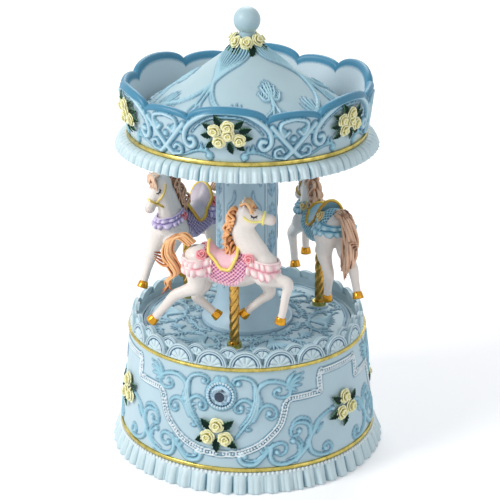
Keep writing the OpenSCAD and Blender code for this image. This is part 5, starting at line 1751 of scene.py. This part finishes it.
    def _bridle(self, hide: Hide) -> Form:
        """Makes the halter."""
        form = Form("halter")
        length = np.linalg.norm(self.nose - self.poll)
        line = []
        for a in np.arange(20) * 2 * pi / 20:
            direction = self.side * cos(a) + self.above * sin(a)
            line.append(hide.cast(self.head(length * 0.78, 0, -0.3), direction, 0.12, 5))
        form.tube(line, 0.5, 7, 0.4, closed=True)
        for side in (-1, 1):
            line = []
            for t in np.linspace(0, 1, 10):
                at = self.head(-0.6 + (length * 0.78 + 0.6) * t, 0, 2.2 * (1 - t) ** 3 - 2.4 + 1.4 * t)
                line.append(hide.cast(at, self.side * side, 0.1, 5))
            form.tube(line, 0.42, 7, 0.4)
        return form

    def _lid(self, t: float) -> np.ndarray:
        """Point of the closed lid's line inside the head, from its front at 0."""
        return self.head(2.0 + 2.3 * t, 0, 0.9 - 0.7 * sin(pi * t))

    def _lashes(self, hide: Hide) -> Form:
        """Makes the closed eyes."""
        form = Form("lashes")
        for side in (-1, 1):
            lid = [hide.cast(self._lid(t), self.side * side, 0.05, 5) for t in np.linspace(0, 1, 6)]
            form.tube(lid, [0.16, 0.26, 0.3, 0.3, 0.26, 0.16], 6, 0.2)
            for t in (0.15, 0.5, 0.85):
                start = self._lid(t)
                tip = start + self.ahead * (t - 0.35) * 0.7 - self.above * 0.8
                form.tube([hide.cast(p, self.side * side, 0.06, 5) for p in (start, (start + tip) / 2, tip)],
                          [0.15, 0.12, 0.05], 5, 0.2)
        return form

    def build(self) -> None:
        """Makes the horse and everything on it."""
        pose, tack = self.pose, self.pose.tack
        skin = self._body()
        hide = Hide(skin, pose.trunk)
        body = Form(pose.name + "_body")
        part = bmesh.new()
        part.from_mesh(skin)
        body.keep(part, True, {"lift": self._blush_and_shade})
        hooves = Form(pose.name + "_hooves")
        for leg in pose.legs:
            tip, before = np.array(leg[-1][:3]), np.array(leg[-2][:3])
            down = (tip - before) / np.linalg.norm(tip - before)
            hoof = bmesh.new()
            bmesh.ops.create_cone(hoof, cap_ends=True, segments=18, radius1=1.7, radius2=2.25, depth=2.8)
            bmesh.ops.bevel(hoof, geom=[e for e in hoof.edges if len(e.link_faces) == 2
                                        and e.calc_face_angle(0) > 0.8], offset=0.45, segments=3, profile=0.5,
                            affect="EDGES", material=-1)
            hooves.keep(hoof, True, {"lift": 0.6})
            hooves.parts[-1].transform(seat(tip + down * 0.3, down))
        saddle, piping = self._saddle(hide)
        trunk_x, trunk_z = pose.trunk[0][0], pose.trunk[0][2]
        rump_x, rump_z = pose.trunk[3][0], pose.trunk[3][2]
        breast = self._frill(hide, (trunk_x - 3, trunk_z), 1, trunk_z + pose.breast[0], trunk_z + pose.breast[1], 2.6)
        rump = self._frill(hide, (rump_x + 3, rump_z), -1, rump_z + pose.rump[0], rump_z + pose.rump[1], 1.2)
        rose = Flowers.rose(2.2)
        roses = Form(pose.name + "_roses")
        for side in (-1, 1):
            roses.copies(rose, [hide.seat(trunk_x - 4.2, side, trunk_z + 3.4, 0.1),
                                hide.seat(rump_x + 1.4, side, rump_z + 3.2, 0.1)])
        for suffix, form, finish, nodes in (
                ("body", body, HIDE_PAINT, [pose.name]), ("hooves", hooves, HOOF_GILT, []),
                ("hair", self._hair(), tack.hair, []), ("saddle", saddle, tack.saddle, []),
                ("saddle_edge", piping, TACK_GOLD, []), ("blanket", self._blanket(hide), tack.blanket, []),
                ("breast_frill", breast, tack.frill, []), ("rump_frill", rump, tack.frill, []),
                ("halter", self._bridle(hide), tack.strap, []), ("roses", roses, tack.rose, []),
                ("lashes", self._lashes(hide), LASH_PAINT, [])):
            form.name = f"{pose.name}_{suffix}"
            form.mesh().transform(self.place)
            form.finish("carousel", "horse_resin", finish, nodes)


HIDE_PAINT = Paint("hide_paint", "e5dcd5", "c6a698", "f3eee9", 0.36)
HOOF_GILT = Metal("hoof_gilt", "e2a42c", "966014", 0.2, 0.7)
TACK_GOLD = Paint("tack_gold", "ecc43e", "c48e22", "fae27a", 0.28)
LASH_PAINT = Paint("lash_paint", "181414", "0e0c0c", "2c2624", 0.4)


def tack(*rows: str) -> Tack:
    """The tack whose six paints have these names and middle, dark and light colours."""
    looks = ((0.34, 0.1), (0.36, 0.0), (0.42, 0.0), (0.42, 0.0), (0.34, 0.0), (0.36, 0.0))
    return Tack(*(Paint(*row.split(), *look) for row, look in zip(rows, looks)))


PINK_TACK = tack("ginger_hair eea86a 92461e fcd6a4", "pink_saddle f0b6c4 de8ca4 fad4da",
                 "pink_crochet f4b4c8 b8689c fcd8e2", "pink_frill f4cace e092a2 fbe8e5",
                 "yellow_strap f0dc54 ceb030 faf096", "pink_rose f496a0 de6076 fcc4c8")
BLUE_TACK = tack("tan_hair d6a686 74442e f0ccb0", "blue_saddle 92c0d0 6094ac c0dce6",
                 "blue_crochet 98c8d7 4a809c cae2ea", "blue_frill 88bcce 4c84a0 bedce6",
                 "ochre_strap d4b254 a07a2c ecd486", "yellow_rose f0ce82 d49e46 fae8b6")
LILAC_TACK = tack("sandy_hair e0b08e 84523a f6d8be", "lilac_saddle baaeba 8c7e90 d2cad2",
                  "lilac_crochet a896ba 70608c cec0d8", "lilac_frill beb0d8 8274aa dcd2ec",
                  "gold_strap ecd470 c4a446 f6e8a0", "red_rose e26e7a be3e54 f4a0a6")

POSES = [
    Pose("pink_horse", 0,
         [[10.5, 0, 32.6, 5.8], [1, 0, 30.2, 6.5], [-7, 0, 31.2, 6.1], [-12.6, 0, 33.6, 6]],
         [[7.5, 0, 36.5, 5.7], [3.2, 0, 45.2, 4.5], [4.4, 0, 51.8, 3.8], [12.6, 0, 50.6, 2.6]],
         [[[11.5, -3, 29.5, 4], [20, -3.4, 27.4, 2.2], [18.4, -3.4, 17, 1.6], [17.6, -3.4, 13.4, 2.1]],
          [[10.5, 3, 28, 4], [12.6, 3.2, 20.8, 2.2], [6, 3.2, 14.8, 1.6], [3.6, 3.2, 12.4, 2.1]],
          [[-13, -3.2, 31.5, 5], [-13.4, -3.6, 24.4, 3.1], [-21.2, -3.6, 20.4, 2.2], [-29.2, -3.6, 10.8, 2.1]],
          [[-12.5, 3.2, 31, 5], [-11.4, 3.4, 23.4, 3.1], [-14.5, 3.4, 17.5, 2.2], [-7.4, 3.4, 11.2, 2.1]]],
         [[-15.4, 0, 39.4, 1.9], [-19.4, 0, 42.2, 2.2], [-23.2, 0, 40.4, 2.5], [-24.6, 0, 35.4, 2.6],
          [-22.4, 0, 30.8, 2.5], [-21.6, 0, 27.6, 2.1], [-24.4, 0, 24.6, 1.5], [-24.2, 0, 22, 0.8]],
         PINK_TACK, 3.6, 1.0, 2.2, (-3.8, 1.6), (-3.8, 1.2)),
    Pose("blue_horse", 1,
         [[11, 0, 35, 5.8], [1, 0, 32.2, 6.6], [-7, 0, 33.6, 6.2], [-12.6, 0, 37, 6.2]],
         [[9.5, 0, 39.4, 5.7], [10.6, 0, 44.4, 4.7], [13, 0, 46.8, 3.8], [20.6, 0, 39.4, 2.6]],
         [[[12, -3, 31.5, 4], [22.4, -3.4, 27, 2.2], [22, -3.4, 17.6, 1.6], [21.8, -3.4, 14.6, 2.1]],
          [[11, 3, 31, 4], [19.6, 3.4, 23.4, 2.2], [17.4, 3.4, 14.8, 1.6], [16.6, 3.4, 11.8, 2.1]],
          [[-13.4, -3.2, 34.4, 5], [-15.4, -3.6, 26.6, 3.1], [-22.4, -3.8, 22.4, 2.2], [-27, -3.8, 13.8, 2.1]],
          [[-13, 3.2, 34, 5], [-12, 3.4, 25.6, 3.1], [-16.6, 3.4, 19, 2.2], [-15.4, 3.4, 9.6, 2.1]]],
         [[-17, 0, 42.4, 2.2], [-20.4, -1.2, 43, 2.8], [-22.8, -2.4, 35.4, 3.5], [-22, -2.2, 27.4, 3.3],
          [-20.6, -1.6, 21.4, 2]], BLUE_TACK, 8.4, 1.5, 3.6, (-0.8, 2.8), (-2.4, 1.4)),
    Pose("lilac_horse", 2,
         [[11, 0, 33, 5.8], [1, 0, 30.6, 6.6], [-7, 0, 31.6, 6.2], [-12.4, 0, 34.2, 6.2]],
         [[9.5, 0, 37.4, 5.8], [11.8, -0.2, 45.2, 4.7], [13.6, -0.6, 50.4, 4], [18, -2.8, 41.8, 2.7]],
         [[[12, -3, 30, 4], [17.2, -3.4, 20.8, 2.2], [20.8, -3.4, 13.8, 1.6], [22, -3.4, 11.4, 2.1]],
          [[11, 3, 29, 4], [15, 3.2, 21.6, 2.2], [9, 3.2, 15.8, 1.6], [7, 3.2, 13.8, 2.1]],
          [[-13, -3.2, 31.6, 5], [-14, -3.6, 24.4, 3.1], [-21, -3.6, 20, 2.2], [-27.6, -3.6, 11.4, 2.1]],
          [[-12.5, 3.2, 31.4, 5], [-11.4, 3.4, 23.4, 3.1], [-14.6, 3.4, 17.6, 2.2], [-8.6, 3.4, 11.6, 2.1]]],
         [[-16, 0, 40, 1.9], [-20, 0, 42.6, 2.3], [-24, 0, 40, 2.6], [-25.6, 0, 33.6, 2.8], [-24.4, 0, 27.4, 2.2],
          [-25, 0, 22.6, 1]], LILAC_TACK, 3.6, 1.85, 5.4, (0.6, 3.6), (-2.6, 1.2))]


@dataclass(frozen=True)
class Poles:
    """Twisted brass poles.

    Attributes:
        foot: Height of a pole's foot above its pad.
        top: Height of its top.
        core: Radius between its four ridges.
        ridge: How far the ridges stand out.
        twist: Radians of twist to a millimetre.
    """

    foot: float = 0.5
    top: float = 28.5
    core: float = 1.35
    ridge: float = 0.5
    twist: float = 0.42

    def build(self) -> None:
        """Makes the three poles."""
        z = np.linspace(self.foot, self.top, 71)[:, None]
        turn = np.linspace(0, 2 * pi, 30, endpoint=False)[None, :]
        lobes = np.abs(np.cos(2 * (turn - z * self.twist)))
        radius = self.core + self.ridge * lobes ** 0.7
        radius[:3] = radius[-3:] = 1.5
        points = np.stack([radius * np.cos(turn), radius * np.sin(turn), z + 0 * turn], -1)
        for pose in POSES:
            form = Form(pose.name + "_twisted_pole")
            form.grid(points, {"lift": lobes}, around=True, caps=True)
            form.mesh().transform(Matrix.Translation(station(pose.number).to_translation()))
            form.finish("carousel", "pole_brass", POLE_BRASS, [pose.name + "_pole"])


# The scene


@dataclass(frozen=True)
class Studio:
    """Camera, lights and floor.

    Attributes:
        lens: Focal length of the camera, in millimetres.
        eye: Its place, in metres.
        tilt: How far it looks down, in degrees.
        turn: How far it is turned, in degrees.
        floor: Half the side of the floor, in metres.
        lamps: Name, place, aim, size, watts and colour of each lamp.
    """

    lens: float = 121.46
    eye: Point = (0.1238, -0.5826, 0.3028)
    tilt: float = 20.853
    turn: float = 11.892
    floor: float = 3.0
    lamps: Sequence[tuple] = (("key", (-0.62, -0.5, 0.62), (0, 0, 0.08), 0.4, 5.6, (1.0, 0.985, 0.965)),
                              ("fill", (0.75, -0.35, 0.4), (0, 0, 0.08), 0.6, 0.7, (0.97, 0.985, 1.0)),
                              ("back", (-0.15, 0.7, 0.75), (0, 0, 0.1), 0.6, 3.6, (1, 1, 1)))

    @staticmethod
    def _light(name: str, where: Point, aim: Point, size: float, watts: float, colour: Colour) -> None:
        """Adds an area light that looks at a point."""
        data = bpy.data.lights.new(name, "AREA")
        data.shape = "DISK"
        data.size = size
        data.energy = watts
        data.color = colour
        obj = placed(name, data)
        obj.location = where
        obj.rotation_euler = (Vector(aim) - Vector(where)).to_track_quat("-Z", "Y").to_euler()

    def build(self) -> None:
        """Sets the scene."""
        scene = bpy.context.scene
        scene.view_settings.view_transform = "Standard"
        data = bpy.data.cameras.new("camera")
        data.lens = self.lens
        data.sensor_width = 36
        data.clip_start = 0.01
        camera = placed("camera", data)
        camera.location = self.eye
        camera.rotation_euler = (radians(90 - self.tilt), 0, radians(self.turn))
        scene.camera = camera
        part = bmesh.new()
        bmesh.ops.create_grid(part, x_segments=1, y_segments=1, size=self.floor)
        mesh = bpy.data.meshes.new("floor")
        part.to_mesh(mesh)
        part.free()
        g = Graph("floor_paper")
        seen = g.seen()
        mesh.materials.append(g.surface(Base_Color="f6f7fa", Roughness=0.9, Emission_Strength=0.2,
                                        Emission_Color=g.blend(seen, (0.0, 0.0, 0.0), (1.0, 1.0, 1.0))))
        ground = placed("floor", mesh)
        ground.location = (0, 0, -0.0001)
        world = bpy.data.worlds.new("studio")
        world.use_nodes = True
        sky = Graph.of_tree(world.node_tree)
        sky.feed(world.node_tree.nodes["Background"].inputs[0],
                 sky.blend(sky.seen(), (0.5, 0.505, 0.51), (1.0, 1.0, 1.0)))
        scene.world = world
        for lamp in self.lamps:
            self._light(*lamp)


def dress_frame() -> None:
    """Gives every CAD node that still shows its finish."""
    finishes = {"blue_resin": PLAIN_RESIN, "ruffle_resin": RUFFLE_RESIN, "crown_resin": CROWN_RESIN, "gilt": GILT,
                "horse_resin": HIDE_PAINT, "rose_resin": ROSE_PAINT, "leaf_resin": LEAF_PAINT, "crystal": CRYSTAL,
                "setting_resin": PLAIN_RESIN, "pole_brass": POLE_BRASS, "movement_brass": WORKS_BRASS,
                "movement_steel": WORKS_STEEL, "movement_zinc": BEDPLATE_ZINC, "key_gilt": GILT,
                "plate_board": PLATE_BOARD, "fly_plastic": FLY_PLASTIC}
    slots = {part["node"]: part["material_slot"] for part in frame["record"]["subparts"]}
    for name, obj in frame["nodes"].items():
        obj.data.materials.clear()
        obj.data.materials.append(dressed(finishes[slots[name]]))
        obj.data.shade_smooth()
        obj.data.set_sharp_from_angle(angle=radians(32))


def main() -> None:
    """Builds the looks of the music box."""
    logging.basicConfig(level=logging.INFO, format="%(name)s: %(message)s")
    Studio().build()
    dress_frame()
    DrumWall().build()
    Ruffle("gathered_base", "root", "base_ruffle",
           [(48.75, 7.55, 0), (49.6, 6.6, 0.25), (50.2, 4.8, 0.75), (50.8, 2.6, 1.05), (51.3, 0.9, 1.2),
            (51.2, 0.15, 1.1), (50.0, 0.1, 0.4), (48.8, 0.2, 0), (47.3, 1.2, 0), (47.2, 6.8, 0), (47.8, 7.5, 0)],
           60, 3, 0.0).build()
    Ruffle("gathered_skirt", "carousel", "canopy_skirt",
           [(43.9, 123.1, 0.1), (45.4, 122.9, 0.35), (46.8, 121.9, 0.6), (47.5, 120.2, 0.75), (47.9, 118.7, 0.85),
            (47.4, 118.45, 0.8), (46.5, 119.4, 0.6), (45.4, 120.9, 0.2), (43.7, 121.4, 0), (43.45, 122.2, 0)],
           82, 9, 0.5).build()
    for assembly in (Drops, Parapet, Deck, Column, Crown, Roof, Flowers, Crystals, Poles):
        assembly().build()
    for pose in POSES:
        Horse(pose).build()


if __name__ == "__main__":
    main()
